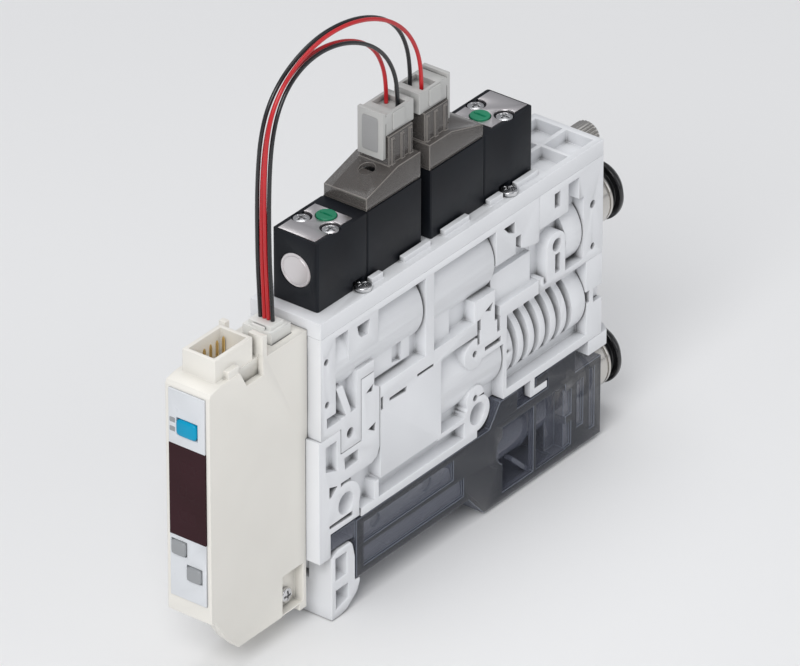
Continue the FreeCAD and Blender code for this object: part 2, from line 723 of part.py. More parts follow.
def body_bores():
    """Everything that is bored into the body."""
    axis = (0, -L.ejector_drop)
    spool = (0, -L.barrel_drop)
    across = (-HALF - OVER, HALF + OVER)
    second = L.hole_end + L.hole_pitch
    check_seat = -L.body_drop + L.check_seat
    check_top = check_seat + L.check_thick + L.check_lift + 0.15
    return [
        rod("bore_supply", "X", spool, L.spool_bore, (-OVER, L.supply_barrel_end - 2.4)),
        rod("bore_release", "X", spool, L.spool_bore,
            (L.release_barrel_start + 2.0, SPLIT_AT + OVER)),
        rod("bore_chamber", "X", axis, L.chamber_radius, (L.chamber_start, L.silencer_start + 1)),
        rod("bore_silencer", "X", axis, L.silencer_bore, (L.silencer_start, L.body_long + OVER)),
        rod("bore_cap", "X", axis, L.cap_radius + 0.05,
            (L.body_long - L.cap_thick, L.body_long + OVER)),
        rod("bore_mount_second", "Y", (second, -L.hole_drop), L.hole_radius, across),
        rod("bore_suction", "Z", (L.check_at, 0), L.suction_bore,
            (-L.body_drop - OVER, -L.ejector_drop)),
        rod("bore_check", "Z", (L.check_at, 0), L.check_radius + L.running_gap,
            (check_seat, check_top)),
        rod("bore_air_first", "Z", (air_places(0)[1], 0), L.air_radius, (-L.barrel_drop, OVER)),
        rod("bore_air_second", "Z", (air_places(1)[0], 0), L.air_radius, (-L.barrel_drop, OVER)),
    ]


def hook_tabs():
    """White hooks below the body, open towards the fittings, that hold the arms of the case."""
    start = L.tail_start + L.hook_at
    low = -L.tail_drop - L.hook_tall
    outline = [
        (start, -L.tail_drop + 1.0), (start, low), (start + 1.5 + L.tab_long, low),
        (start + 1.5 + L.tab_long, low + 1.4), (start + 1.2, low + 1.4),
        (start + 1.2, -L.tail_drop + 1.0),
    ]
    return both("hook_tabs", prism("hook_tab_near", "XZ", [outline], (-HALF, -HALF + 1.5)))


def ejector_body():
    solids = [body_core()] + side_pads() + side_ledges() + barrels() + bosses()
    whole = common("ejector_limits", fuse("ejector_solid", solids), body_envelope())
    whole = fuse("ejector_hooked", [whole, hook_tabs()])
    tools = body_bores() + [small_holes(), windows(), exhaust_slots()] + end_details()
    finish("ejector_body", cut("ejector_cut", whole, tools))


def spools():
    """A sealed spool for each barrel: four lands on a stem."""
    land = L.spool_bore - L.spool_gap
    stem = 1.9
    outline = [(0, 0)]
    first = [(0, land), (2.2, land), (2.2, stem), (5.6, stem), (5.6, land), (7.8, land), (7.8, stem),
             (11.2, stem), (11.2, land), (13.4, land), (13.4, stem), (16.8, stem), (16.8, land)]
    outline += first + [(L.spool_long, land), (L.spool_long, 0)]
    supply = turned("supply_spool", outline, (L.cap_long + 0.6, 0, -L.barrel_drop))
    finish("supply_spool", supply)
    start = L.release_barrel_start + 2.0 + 0.6
    finish("release_spool", turned("release_spool", outline, (start, 0, -L.barrel_drop)))
    plug = [(0, 0), (0, L.spool_bore), (L.cap_long, L.spool_bore), (L.cap_long, 1.5),
            (0.8, 1.5), (0.8, 0)]
    finish("barrel_plug", turned("barrel_plug", plug, (0, 0, -L.barrel_drop)))


# Ejector, silencer and check valve


def ejector():
    wall = L.chamber_radius
    throat = L.nozzle_throat
    long = L.nozzle_long
    nozzle = [(0, 2.2), (0, wall), (4.0, wall), (4.0, 2.6), (long, 1.3), (long, throat),
              (long - 3.0, throat), (3.0, 2.2)]
    at = (L.chamber_start, 0, -L.ejector_drop)
    finish("ejector_nozzle", turned("ejector_nozzle", nozzle, at))
    long = L.diffuser_long
    throat = L.diffuser_throat
    diffuser = [(0, 2.1), (0, 3.0), (3.0, 3.0), (3.0, wall), (6.0, wall), (6.0, 3.0), (long - 4.0, 3.0),
                (long - 4.0, wall), (long, wall), (long, 2.2), (12.0, throat), (4.5, throat)]
    at = (L.diffuser_start, 0, -L.ejector_drop)
    finish("ejector_diffuser", turned("ejector_diffuser", diffuser, at))
    length = L.body_long - L.cap_thick - L.silencer_start - 1.6
    outer = L.silencer_bore - 0.1
    tube = [(0, L.silencer_tube), (0, outer), (length, outer), (length, L.silencer_tube)]
    at = (L.silencer_start + 0.3, 0, -L.ejector_drop)
    finish("silencer_element", turned("silencer_element", tube, at))


def silencer_cap():
    """A round cap with a dished face and a small dimple in the middle."""
    wide = L.cap_radius
    inner = L.silencer_bore - 0.1
    thick = L.cap_thick
    outline = [(0, 0), (0, inner - 1.2), (-1.2, inner - 1.2), (-1.2, inner), (0, inner), (0, wide),
               (thick, wide), (thick + 0.35, wide - 0.4), (thick + 0.35, wide - 1.4),
               (thick, wide - 1.7), (thick, 1.5), (thick - 0.5, 1.0), (thick - 0.5, 0)]
    at = (L.body_long - thick, 0, -L.ejector_drop)
    finish("silencer_cap", turned("silencer_cap", outline, at))


def check_valve():
    thick = L.check_thick
    wide = L.check_radius
    outline = [(0, 0), (0, wide), (thick, wide), (thick, 1.9), (thick - 0.25, 1.7), (thick - 0.25, 0)]
    at = (L.check_at, 0, -L.body_drop + L.check_seat + 0.05)
    finish("check_valve_disc", turned("check_valve_disc", outline, at, "+Z"))


# Port block


def port_block():
    """The moulding that holds the supply fitting and the needle, with a snap tongue each side."""
    start, end = SPLIT_AT, L.body_long
    span = (-L.port_drop, -L.base_thick)
    across = (-HALF, HALF)
    arch = (start + 5.1, -15.5)
    solids = [
        box("port_core", (start, end), (-CORE, CORE), span),
        rod("port_barrel", "X", (0, -L.supply_drop), L.body_width / 2 - 0.1, (start + 8, start + 12.8)),
        box("port_end", (end - 5.8, end), across, span),
        box("port_top", (start, start + 8.7), across, (-10.2, -L.base_thick)),
        box("port_band", (start, end - 5.0), across, (-L.band_drop, -L.base_thick)),
        box("port_shoulder", (end - 7.2, end - 5.0), across, (-9.2, -L.base_thick)),
        box("port_foot", (start, end), across, (-L.port_drop, -L.port_drop + 1.2)),
        box("port_rail", (start, start + 1.4), across, (-L.port_drop, -L.rail_top)),
        rod("tongue_arch", "Y", arch, 2.7, across),
        box("tongue", (arch[0] - 2.7, arch[0] + 2.7), across, (-L.port_drop, arch[1])),
    ]
    limits = box("port_limits", (start, end), across, span)
    whole = common("port_whole", fuse("port_solid", solids), limits)
    deep = (-HALF - OVER, -HALF + 2.4)
    mark = [(start + 4.5, -4.8), (start + 6.2, -4.8), (start + 6.2, -7.9), (start + 4.5, -7.7)]
    groove = [(start + 4.8, -17.4), (start + 6.3, -17.4), (start + 6.3, -21.2), (start + 4.8, -21.2)]
    pockets = both("port_windows", prism("port_windows_near", "XZ", [mark, groove], deep))
    holes = [rod(f"port_hole_{index}", "Y", (x, z), radius, (-HALF - OVER, -HALF + 2.4))
             for index, (x, z, radius) in enumerate([
                 (end - 3.1, -12.0, 0.8), (end - 3.0, -20.7, 0.65), (arch[0] + 0.2, arch[1], 1.3)])]
    tools = [
        pockets,
        both("port_holes", fuse("port_holes_near", holes)),
        rod("port_bore", "X", (0, -L.supply_drop), L.spigot_radius, (end - L.spigot_long, end + OVER)),
        rod("needle_bore", "X", (L.needle_side, -L.needle_drop), L.thread_radius + L.running_gap,
            (end - L.needle_in - 1.4, end + OVER)),
        rod("port_way", "X", (0, -L.supply_drop), 2.0, (start - OVER, end)),
    ]
    finish("port_block", cut("port_cut", whole, tools))


# Push-in fittings


def fitting(name, drop):
    """Metal body, grip ring, rubber seal and release collar of one push-in fitting."""
    at = (L.body_long, 0, -drop)
    bore = L.tube_radius + 0.1
    guide = L.sleeve_radius + L.running_gap
    neck = L.neck_radius + L.running_gap
    inside = -L.spigot_long
    out = L.fitting_out
    wide = L.fitting_radius
    shoulder = -1.6
    lap = 0.3
    mouth = out - L.collar_travel - lap - 0.2
    body = [
        (inside, bore - 1.0), (inside, L.spigot_radius), (0, L.spigot_radius), (0, wide - 0.3),
        (0.3, wide), (out - 1.4, wide), (out - 1.4, wide - 0.35), (out - 0.9, wide - 0.35),
        (out - 0.9, wide), (out - 0.3, wide), (out, wide - 0.3), (out, neck), (mouth, neck),
        (mouth, guide), (shoulder, guide),
        (shoulder, 4.15), (-5.0, 4.15), (-5.0, bore), (-9.6, bore), (-9.6, bore - 1.0),
    ]
    finish(name + "_fitting_body", turned(name + "_fitting_body", body, at))
    ring = [(-2.9, bore), (-2.9, 4.1), (-2.4, 4.1), (-1.9, 3.55), (-1.9, bore - 0.02)]
    collet = turned(name + "_collet", ring, at)
    claw = [(2.6, -0.25), (4.6, -0.25), (4.6, 0.25), (2.6, 0.25)]
    finish(name + "_collet", groove_round(collet, name + "_claw", claw, (-2.4, -1.7), 8))
    seal = [(-4.9, 3.15), (-4.9, 4.1), (-3.1, 4.1), (-3.1, 3.15), (-3.5, 3.0), (-4.5, 3.0)]
    finish(name + "_seal", turned(name + "_seal", seal, at))
    flange = out + L.collar_rest
    face = flange + L.collar_thick
    nose = face + L.nose_long
    inner = -1.6 + L.collar_travel + 0.15
    collar = [
        (inner, bore), (inner, L.sleeve_radius), (out - lap, L.sleeve_radius),
        (out - lap, L.neck_radius), (flange, L.neck_radius),
        (flange, L.collar_wide - 0.2), (flange + 0.2, L.collar_wide), (face - 0.3, L.collar_wide),
        (face, L.collar_wide - 0.3), (face, L.collar_nose), (nose - 0.5, L.collar_nose),
        (nose, L.collar_nose - 0.5), (nose, bore + 0.5), (nose - 0.7, bore),
    ]
    finish(name + "_release_collar", turned(name + "_release_collar", collar, at))


# Needle valve


def needle():
    """Threaded stem with a cone point, hexagonal lock nut and knurled knob."""
    at = (L.body_long, L.needle_side, -L.needle_drop)
    radius = L.thread_radius
    knob_start = L.knob_out - L.knob_long
    stem_end = knob_start + 2.6
    stem = [(-L.needle_in, 0), (-L.needle_in + 1.8, 0.7), (-L.needle_in + 3.2, 0.7),
            (-L.needle_in + 3.2, radius), (stem_end, radius), (stem_end, 0)]
    finish("needle_stem", turned("needle_stem", stem, at))
    corner = L.nut_flats / 2 / math.cos(math.pi / 6)
    hole = radius + L.running_gap
    thick = L.nut_thick
    nut_outline = [(0.05, hole), (0.05, corner - 0.35), (0.35, corner), (thick - 0.35, corner),
                   (thick, corner - 0.35), (thick, hole)]
    nut = turned("needle_lock_nut", nut_outline, at)
    flat = L.nut_flats / 2
    side = [(flat, -4.2), (flat + 1.5, -4.2), (flat + 1.5, 4.2), (flat, 4.2)]
    finish("needle_lock_nut", groove_round(nut, "lock_nut_flat", side, (-OVER, thick + OVER), 6))
    wide = L.knob_radius
    start, end = knob_start, L.knob_out
    socket = stem_end + 0.05
    knob_outline = [(start, hole), (start, wide - 0.4), (start + 0.3, wide), (end - 0.4, wide),
                    (end, wide - 0.4), (end, 0), (socket, 0), (socket, hole)]
    knob = turned("needle_knob", knob_outline, at)
    tooth = [(wide - 0.28, 0), (wide + 0.2, -0.3), (wide + 0.2, 0.3)]
    finish("needle_knob", groove_round(knob, "knurl", tooth, (start - OVER, end - 0.45), 26))


# Plate over the vacuum fitting


def retainer_plate():
    """A thick plate with chamfered front corners that closes the end above the fitting."""
    start, end = L.body_long - L.retainer_in, L.body_long + L.retainer_out
    outline = [(start, -HALF), (end - 1.4, -HALF), (end, -HALF + 1.7), (end, HALF - 1.7),
               (end - 1.4, HALF), (start, HALF)]
    span = (-L.tail_drop - L.retainer_thick, -L.tail_drop)
    finish("retainer_plate", prism("retainer", "XY", [outline], span))


# Switch adapter, lock lever and pin


def switch_adapter():
    """A hooked block under the body's switch end; its lug carries the lock lever.

    Its column and foot go right across, and a cheek each side reaches up round the body.
    """
    front = -L.adapter_proud
    low = -L.body_drop + 0.6
    lever = (L.lever_start - 0.3, -L.lever_top + 0.3)
    column = [
        (front, -L.adapter_drop), (L.adapter_end, -L.adapter_drop), (L.adapter_end, -L.cheek_drop - 1),
        (L.foot_end, -L.hole_drop), (L.foot_end, low), (lever[0], low), lever, (front, lever[1]),
    ]
    boss = rod("adapter_boss", "Y", (L.hole_end, -L.hole_drop), L.boss_radius, (-HALF, HALF))
    block = fuse("adapter_block", [prism("adapter_column", "XZ", [column], (-HALF, HALF)), boss])
    arm = (L.arm_start, L.arm_start + L.arm_long)
    cheek = [
        (L.adapter_end - 1, -L.tongue_drop), (arm[0], -L.tongue_drop), (arm[0], -L.arm_top),
        (arm[1], -L.arm_top), (arm[1], -19.4), (L.cheek_end, -20.2), (L.cheek_end, -L.cheek_drop + 2.4),
        (L.cheek_end - 0.8, -L.cheek_drop + 0.7), (L.cheek_end - 2.4, -L.cheek_drop),
        (L.adapter_end - 1, -L.cheek_drop),
    ]
    cheeks = both("adapter_cheeks", prism("adapter_cheek", "XZ", [cheek], (-HALF, -CORE - L.seam)))
    lug_half = L.lug_width / 2
    lug_outline = [(front + 0.9, -L.lever_top + 1.0), (L.lever_start - 0.3, -L.lever_top + 1.0),
                   (L.pin_at + 1.2, -L.pin_drop + 2.6), (L.pin_at + 2.0, -L.pin_drop + 1.2),
                   (L.pin_at + 2.0, -L.pin_drop - 1.4), (L.pin_at - 1.4, -L.pin_drop - 2.0),
                   (front + 2.6, -L.lever_top - 0.6)]
    lug = prism("adapter_lug", "XZ", [lug_outline], (-lug_half, lug_half))
    deep = (-HALF - OVER, -HALF + 1.6)
    pockets = [
        [(1.4, -25.6), (4.5, -25.6), (4.5, -31.7), (1.4, -30.6)],
        [(2.3, -34.2), (4.7, -34.9), (3.0, -36.4), (2.3, -36.4)],
        [(2.3, -42.1), (8.9, -42.0), (8.9, -42.9), (2.3, -42.7)],
        [(6.6, -30.2), (10.6, -30.2), (10.6, -32.4), (6.8, -32.6)],
        [(13.5, -27.6), (15.6, -27.0), (15.3, -28.7)],
        [(12.9, -19.9), (14.9, -18.9), (14.6, -20.3)],
    ]
    tools = [
        both("adapter_pockets", prism("adapter_pockets_near", "XZ", pockets, deep)),
        rod("bore_mount_first", "Y", (L.hole_end, -L.hole_drop), L.hole_radius, (-HALF - 1, HALF + 1)),
        rod("lug_hole", "Y", (L.pin_at, -L.pin_drop), L.pin_radius + 0.01,
            (-lug_half - 1, lug_half + 1)),
    ]
    finish("switch_adapter", cut("adapter_cut", fuse("adapter_solid", [block, cheeks, lug]), tools))


def lock_lever():
    """The lever that holds up the end of the filter case with its nose."""
    left = L.lever_start
    top, foot = -L.lever_top, -CASE_DROP - L.nose_drop
    nose = -CASE_DROP - 0.3
    tip = L.case_start + 1.0
    outline = [
        (left, top), (left + 1.8, top + 0.9), (8.2, top + 0.9), (8.8, top + 0.2), (9.1, top - 0.9),
        (L.case_start - 0.4, -L.pin_drop + 0.6), (L.case_start - 0.4, nose + 0.1), (tip, nose),
        (tip, nose - 0.9), (tip - 0.8, nose - 2.6), (7.2, foot + 0.5),
        (left + 2.2, foot), (left, foot),
    ]
    plate = prism("lever_plate", "XZ", [outline], (-HALF, HALF))
    upper = [(4.0, top - 0.6), (7.2, top - 0.6), (7.2, -L.pin_drop - 2.0), (4.0, -L.pin_drop - 2.0)]
    lower = [(4.0, nose + 0.4), (7.6, nose + 0.4), (7.6, nose - 2.7), (4.0, nose - 3.5)]
    deep = (-HALF - OVER, -HALF + 3.2)
    windows_near = prism("lever_windows_near", "XZ", [upper, lower], deep)
    slot_half = L.lug_width / 2 + 0.25
    tools = [
        both("lever_windows", windows_near),
        box("lever_slot", (left - OVER, 8.6), (-slot_half, slot_half), (-L.pin_drop - 2.6, top + 2)),
        rod("lever_hole", "Y", (L.pin_at, -L.pin_drop), L.pin_radius + L.running_gap, (-HALF, HALF)),
    ]
    finish("lock_lever", cut("lever_cut", plate, tools))
    reach = HALF - 3.3
    pin = rod("pin", "Y", (L.pin_at, -L.pin_drop), L.pin_radius, (-reach, reach))
    finish("lever_pin", pin)


# Filter case, element and seal


def case_hooks():
    """An arm each side that reaches into the mouth of the body's white hook."""
    start = L.tail_start + L.hook_at + 1.5
    top = -L.tail_drop - 0.3
    low = -L.tail_drop - L.hook_tall + 1.7
    post = start + L.tab_long + 0.3
    outline = [(start, top), (post + 1.5, top), (post + 1.5, low - 2.5), (post, low - 2.5), (post, low),
               (start, low)]
    near = prism("hook_near", "XZ", [outline], (-HALF, -HALF + 1.5))
    return both("hooks", near)


def hook_rooms():
    """Room in the case's sides for the white hooks, also when the case slides off them."""
    start = L.tail_start + L.hook_at
    low = -L.tail_drop - L.hook_tall
    span = (start - L.case_slide - 0.3, start + 1.5 + L.tab_long + 0.3)
    room = box("hook_room", span, (-HALF - OVER, -HALF + 1.8), (low - 0.3, -L.tail_drop))
    return both("hook_rooms", room)


def filter_case():
    """A tray with a deeper end, a tongue at the lever and a socket for the vacuum fitting."""
    wall = L.case_wall
    gap = L.case_gap
    start, end = L.case_start, L.body_long
    top, step_top = -L.body_drop - gap, -L.tail_drop - gap
    floor, sump = -CASE_DROP, -L.sump_drop
    raised = (L.tail_start + 0.6, L.body_long - 7.8)
    outline = [
        (start, top), (L.tail_start - 2.6, top), (raised[0], step_top), (raised[1], step_top),
        (raised[1], top - 0.2), (end, top - 0.2), (end, sump), (L.sump_start + 4.4, sump),
        (L.sump_start, floor), (start, floor),
    ]
    shell = prism("case_shell", "XZ", [outline], (-HALF, HALF))
    tongue = [(L.lever_start + 0.3, top), (start + 0.5, top), (start + 0.5, top - 3.6),
              (L.lever_start + 4.6, -L.lever_top + 1.2), (L.lever_start + 0.3, -L.lever_top + 1.2)]
    tongue = prism("case_tongue", "XZ", [tongue], (-HALF + 0.4, HALF - 0.4))
    hollow = [
        (start + wall, top + OVER), (L.tail_start - 2.6, top + OVER),
        (raised[0] + 1.2, step_top + OVER),
        (raised[1] - wall, step_top + OVER), (raised[1] - wall, top - wall - 0.2),
        (end - L.spigot_long - 1.6, top - wall - 0.2), (end - L.spigot_long - 1.6, sump + wall),
        (L.sump_start + 4.9, sump + wall), (L.sump_start + 0.5, floor + wall),
        (start + wall, floor + wall),
    ]
    inner = prism("case_hollow", "XZ", [hollow], (-HALF + wall, HALF - wall))
    liner = box("case_liner", (raised[0] + 3.8, raised[0] + 15.6), (-HALF + 1, -HALF + 3.0),
                (step_top - L.hook_tall - 1.6, step_top))
    inner = cut("case_hollow_lined", inner, [both("case_liners", liner)])
    panels = [
        [(start + 2.2, floor + 1.6), (L.sump_start - 1.5, floor + 1.6),
         (L.sump_start - 1.5, floor + 5.2), (start + 2.2, floor + 5.2)],
        [(start + 2.2, floor + 6.4), (L.sump_start - 4.5, floor + 6.4), (L.sump_start - 4.5, top - 1.4),
         (start + 2.2, top - 1.4)],
        [(raised[0] + 4.4, sump + 1.8), (raised[0] + 8.6, sump + 1.8), (raised[0] + 8.6, sump + 6.6),
         (raised[0] + 4.4, sump + 6.6)],
        [(raised[0] + 11.4, sump + 1.8), (end - 9.0, sump + 1.8), (end - 9.0, sump + 6.6),
         (raised[0] + 11.4, sump + 6.6)],
        [(raised[0] + 11.4, sump + 8.4), (end - 9.0, sump + 8.4), (end - 9.0, sump + 13.6),
         (raised[0] + 11.4, sump + 13.6)],
        [(end - 3.4, sump + 2.4), (end - 2.0, sump + 2.4), (end - 2.0, sump + 15.0),
         (end - 3.4, sump + 15.0)],
        [(end - 7.2, sump + 4.6), (end - 5.4, sump + 4.6), (end - 5.4, sump + 14.0),
         (end - 7.2, sump + 14.0)],
    ]
    recess = both("case_panels", prism("case_panels_near", "XZ", panels, (-HALF - OVER, -HALF + 0.5)))
    socket = rod("case_socket", "X", (0, -L.vacuum_drop), L.spigot_radius,
                 (end - L.spigot_long, end + OVER))
    way = rod("case_way", "X", (0, -L.vacuum_drop), 2.0, (end - L.spigot_long - 3.0, end))
    barrel = rod("case_barrel", "Y", (raised[0] + 2.2, sump + 10.4), 4.4, (-HALF, HALF))
    barrel_in = rod("case_barrel_in", "Y", (raised[0] + 2.2, sump + 10.4), 3.2,
                    (-HALF - OVER, -HALF + 0.9))
    dots = [rod(f"case_dot_{index}", "Y", (x, top - 2.9), 1.3, (-HALF - OVER, -HALF + 0.8))
            for index, x in enumerate((start + 6.0, start + 21.0))]
    ribs = [box(f"case_rib_{index}", (start + along, start + along + 0.9), (-HALF + 0.5, HALF - 0.5),
                (floor + 0.6, floor + wall + L.rib_tall)) for index, along in enumerate((10.0, 20.0))]
    tray = cut("case_tray", shell, [inner, hook_rooms()])
    solid = fuse("case_solid", [tray, tongue, case_hooks()] + ribs)
    barrel_wall = common("case_barrel_wall", barrel, fuse("case_sides", [
        box("case_side_near", (raised[0] - 4, raised[0] + 8), (-HALF, -HALF + 2.0), (sump, top)),
        box("case_side_far", (raised[0] - 4, raised[0] + 8), (HALF - 2.0, HALF), (sump, top))]))
    solid = fuse("case_with_barrel", [solid, barrel_wall])
    rings = both("case_rings", fuse("case_rings_near", [barrel_in] + dots))
    finish("filter_case", cut("case_cut", solid, [recess, socket, way, rings]))


def filter_parts():
    """A hollow filter element lying in the case, and the frame gasket round the case's mouth."""
    start = L.case_start + L.case_wall + 1.4
    room = L.case_deep - L.case_wall - L.rib_tall - L.element_gap
    radius = smaller(room / 2, HALF - L.case_wall - 2 * L.element_gap)
    height = -CASE_DROP + L.case_wall + L.rib_tall + 0.1 + radius
    long = L.element_long
    inner = radius * 0.43
    outline = [(0, inner), (0, radius), (long, radius), (long, inner)]
    finish("filter_element", turned("filter_element", outline, (start, 0, height)))


def filter_seal():
    """A frame of rubber in the mouth of the case, just inside its walls."""
    wall = L.case_wall + 0.05
    x = (L.case_start + wall, L.tail_start - 4.0)
    y = (-HALF + wall, HALF - wall)
    z = (-L.body_drop - L.case_gap - 1.4, -L.body_drop - L.case_gap)
    frame = box("seal_frame", x, y, z)
    hole = box("seal_hole", (x[0] + 1.3, x[1] - 1.3), (y[0] + 1.3, y[1] - 1.3), (z[0] - 1, z[1] + 1))
    finish("filter_case_seal", cut("seal_cut", frame, [hole]))


# Pilot valves


class Along:
    """Distances along one pilot valve: the release valve is the supply valve turned round."""

    def __init__(self, start, way):
        self.start = start
        self.way = way

    def point(self, distance):
        return self.start + self.way * distance

    def span(self, first, last):
        ends = (self.point(first), self.point(last))
        return ends if self.way > 0 else (ends[1], ends[0])


SUPPLY = Along(L.valve_start, 1)
RELEASE = Along(RELEASE_END, -1)
PLATE_SCREW_AT = 5.9
BUTTON_AT = 8.8
VALVES = (("supply", SUPPLY), ("release", RELEASE))


def valve_body(name, along):
    """Black end block: metal disc in front, plate and override button on top."""
    front = L.front_long
    tall = L.valve_tall
    block = box(f"{name}_block", along.span(0, front), (-VALVE_HALF, VALVE_HALF), (0, tall))
    soft = rounded(f"{name}_block_soft", block, UPRIGHT, 0.5)
    middle = tall / 2
    tools = [
        rod(f"{name}_disc_seat", "X", (0, middle), L.disc_radius, along.span(-OVER, 1.2)),
        rod(f"{name}_button_hole", "Z", (along.point(BUTTON_AT), 0), L.button_radius + 0.06,
            (tall - L.button_travel - 2.6, tall + OVER)),
        rod(f"{name}_plunger_seat", "X", (0, middle), L.plunger_radius + 0.1,
            along.span(front - 1.5, front + OVER)),
    ]
    for index, (x, y) in enumerate(screw_places()):
        reach = L.head_radius + 0.25
        tools.append(rod(f"{name}_notch_{index}", "Z", (x, y), reach, (-OVER, L.head_tall + 0.5)))
    seat = tall - L.plate_screw_drop
    for side in (-1, 1):
        at = (along.point(PLATE_SCREW_AT), side * L.plate_screw_side)
        tools.append(rod(f"{name}_plate_hole_{side}", "Z", at, L.screw_radius + 0.05,
                         (seat - 3.3, tall)))
        tools.append(rod(f"{name}_plate_sink_{side}", "Z", at, L.head_radius + 0.15,
                         (seat, tall + OVER)))
    ledge = L.plate_thick
    recess = box(f"{name}_ledge", along.span(0.4, 10.9), (-4.1, 4.1), (tall - ledge, tall + OVER))
    finish(f"{name}_valve_body", cut(f"{name}_block_cut", soft, tools + [recess]))


def coil_case(name, along):
    """Black coil case with the winding's bore open towards the end block."""
    span = along.span(L.front_long, L.front_long + L.coil_long)
    block = box(f"{name}_case_block", span, (-VALVE_HALF, VALVE_HALF), (0, L.valve_tall - 0.05))
    soft = rounded(f"{name}_case_soft", block, UPRIGHT, 0.35)
    middle = L.valve_tall / 2
    bore = rod(f"{name}_case_bore", "X", (0, middle), L.coil_radius + 0.05,
               along.span(L.front_long - OVER, L.front_long + 12.5))
    tools = [bore]
    for index, (x, y) in enumerate(screw_places()):
        reach = L.head_radius + 0.25
        tools.append(rod(f"{name}_case_notch_{index}", "Z", (x, y), reach, (-OVER, L.head_tall + 0.5)))
    finish(f"{name}_coil_case", cut(f"{name}_case_cut", soft, tools))


def valve_cover(name, along):
    """Smoky clear hood over the coil with the socket tower on its high end."""
    start, end = L.front_long, L.front_long + L.coil_long
    base = L.valve_tall
    low, top = base + L.cover_low, base + L.cover_tall
    wall = L.cover_wall
    half = VALVE_HALF - 0.25

    def loop(inset, under):
        points = [(start + inset, base - under), (start + inset, low - inset), (start + 9.1, top - inset),
                  (end - inset, top - inset), (end - inset, base - under)]
        return [(along.point(x), z) for x, z in points]

    outer = prism(f"{name}_hood_out", "XZ", [loop(0, 0)], (-half, half))
    inner = prism(f"{name}_hood_in", "XZ", [loop(wall, OVER)], (-half + wall, half - wall))
    shell = cut(f"{name}_hood", outer, [inner])
    tower_x = along.span(end - 7.2, end - 0.4)
    tower = box(f"{name}_tower", tower_x, (-3.3, 3.3), (top - 0.3, top + L.tower_tall))
    ribs = [box(f"{name}_tower_rib_{index}", along.span(end - at, end - at + 0.8), (-3.6, 3.6),
                (top - 0.3, top + L.tower_tall - 0.6)) for index, at in enumerate((6.6, 3.9, 1.6))]
    socket = box(f"{name}_tower_hole", along.span(end - 6.4, end - 1.2), (-2.5, 2.5),
                 (top + 0.5, top + L.tower_tall + OVER))
    lamp = rod(f"{name}_lamp", "Z", (along.point(start + 6.2), 0), 1.5, (top - 1.5, top + OVER))
    solid = fuse(f"{name}_cover_solid", [shell, tower] + ribs)
    finish(f"{name}_valve_cover", cut(f"{name}_cover_cut", solid, [socket, lamp]))


def valve_plate(name, along):
    """Bright metal plate held down by two screws, cut away round them and round the button."""
    tall = L.valve_tall
    sheet = box(f"{name}_sheet", along.span(0.45, 10.85), (-4.05, 4.05),
                (tall - L.plate_thick, tall + 0.15))
    at = along.point(PLATE_SCREW_AT)
    tools = [rod(f"{name}_sheet_hole", "Z", (along.point(BUTTON_AT), 0), L.button_radius + 0.15,
                 (tall - 2, tall + 2))]
    for side in (-1, 1):
        tools.append(rod(f"{name}_sheet_notch_{side}", "Z", (at, side * L.plate_screw_side),
                         L.head_radius + 0.35, (tall - 2, tall + 2)))
    finish(f"{name}_valve_plate", cut(f"{name}_sheet_cut", sheet, tools))


def override_button(name, along):
    """Green button with a screwdriver slot; pressing it opens the valve by hand."""
    top = L.valve_tall + L.button_proud
    radius = L.button_radius
    long = top - L.valve_tall + 1.8
    outline = [(0, 0), (0, radius), (long - 0.2, radius), (long, radius - 0.2), (long, 0)]
    at = (along.point(BUTTON_AT), 0, top - long)
    button = turned(f"{name}_override", outline, at, "+Z")
    slot = sketch_in(button, f"{name}_override_slot", "XY")
    draw_loop(slot, [(long - 0.6, -1.3), (long + 0.2, -1.3), (long + 0.2, 1.3), (long - 0.6, 1.3)])
    pocket = button.newObject("PartDesign::Pocket", f"{name}_override_cut")
    pocket.Profile = slot
    pocket.Midplane = True
    pocket.Length = 0.5
    button.Tip = pocket
    finish(f"{name}_override_button", button)


def plunger(name, along):
    """Iron plunger that the coil pulls, with a rubber-faced end."""
    radius = L.plunger_radius
    outline = [(0, 0), (0, radius - 0.3), (0.3, radius), (8.6, radius), (8.6, 1.4), (7.4, 1.4), (7.4, 0)]
    facing = "+X" if along.way > 0 else "-X"
    at = (along.point(L.front_long + 0.1), 0, L.valve_tall / 2)
    finish(f"{name}_plunger", turned(f"{name}_plunger", outline, at, facing))


def valve_inserts():
    """The metal discs on the two end blocks, and the two windings."""
    middle = L.valve_tall / 2
    discs = [rod(f"{name}_disc", "X", (0, middle), L.disc_radius - 0.02, along.span(0.15, 1.2))
             for name, along in VALVES]
    finish("valve_end_discs", group("end_discs", discs))
    windings = []
    for name, along in VALVES:
        span = along.span(L.front_long + 0.6, L.front_long + 12.3)
        outer = rod(f"{name}_winding", "X", (0, middle), L.coil_radius, span)
        hole = rod(f"{name}_winding_bore", "X", (0, middle), L.plunger_radius + L.running_gap,
                   along.span(L.front_long, L.front_long + 13))
        windings.append(cut(f"{name}_winding_cut", outer, [hole]))
    finish("solenoid_coils", group("coils", windings))


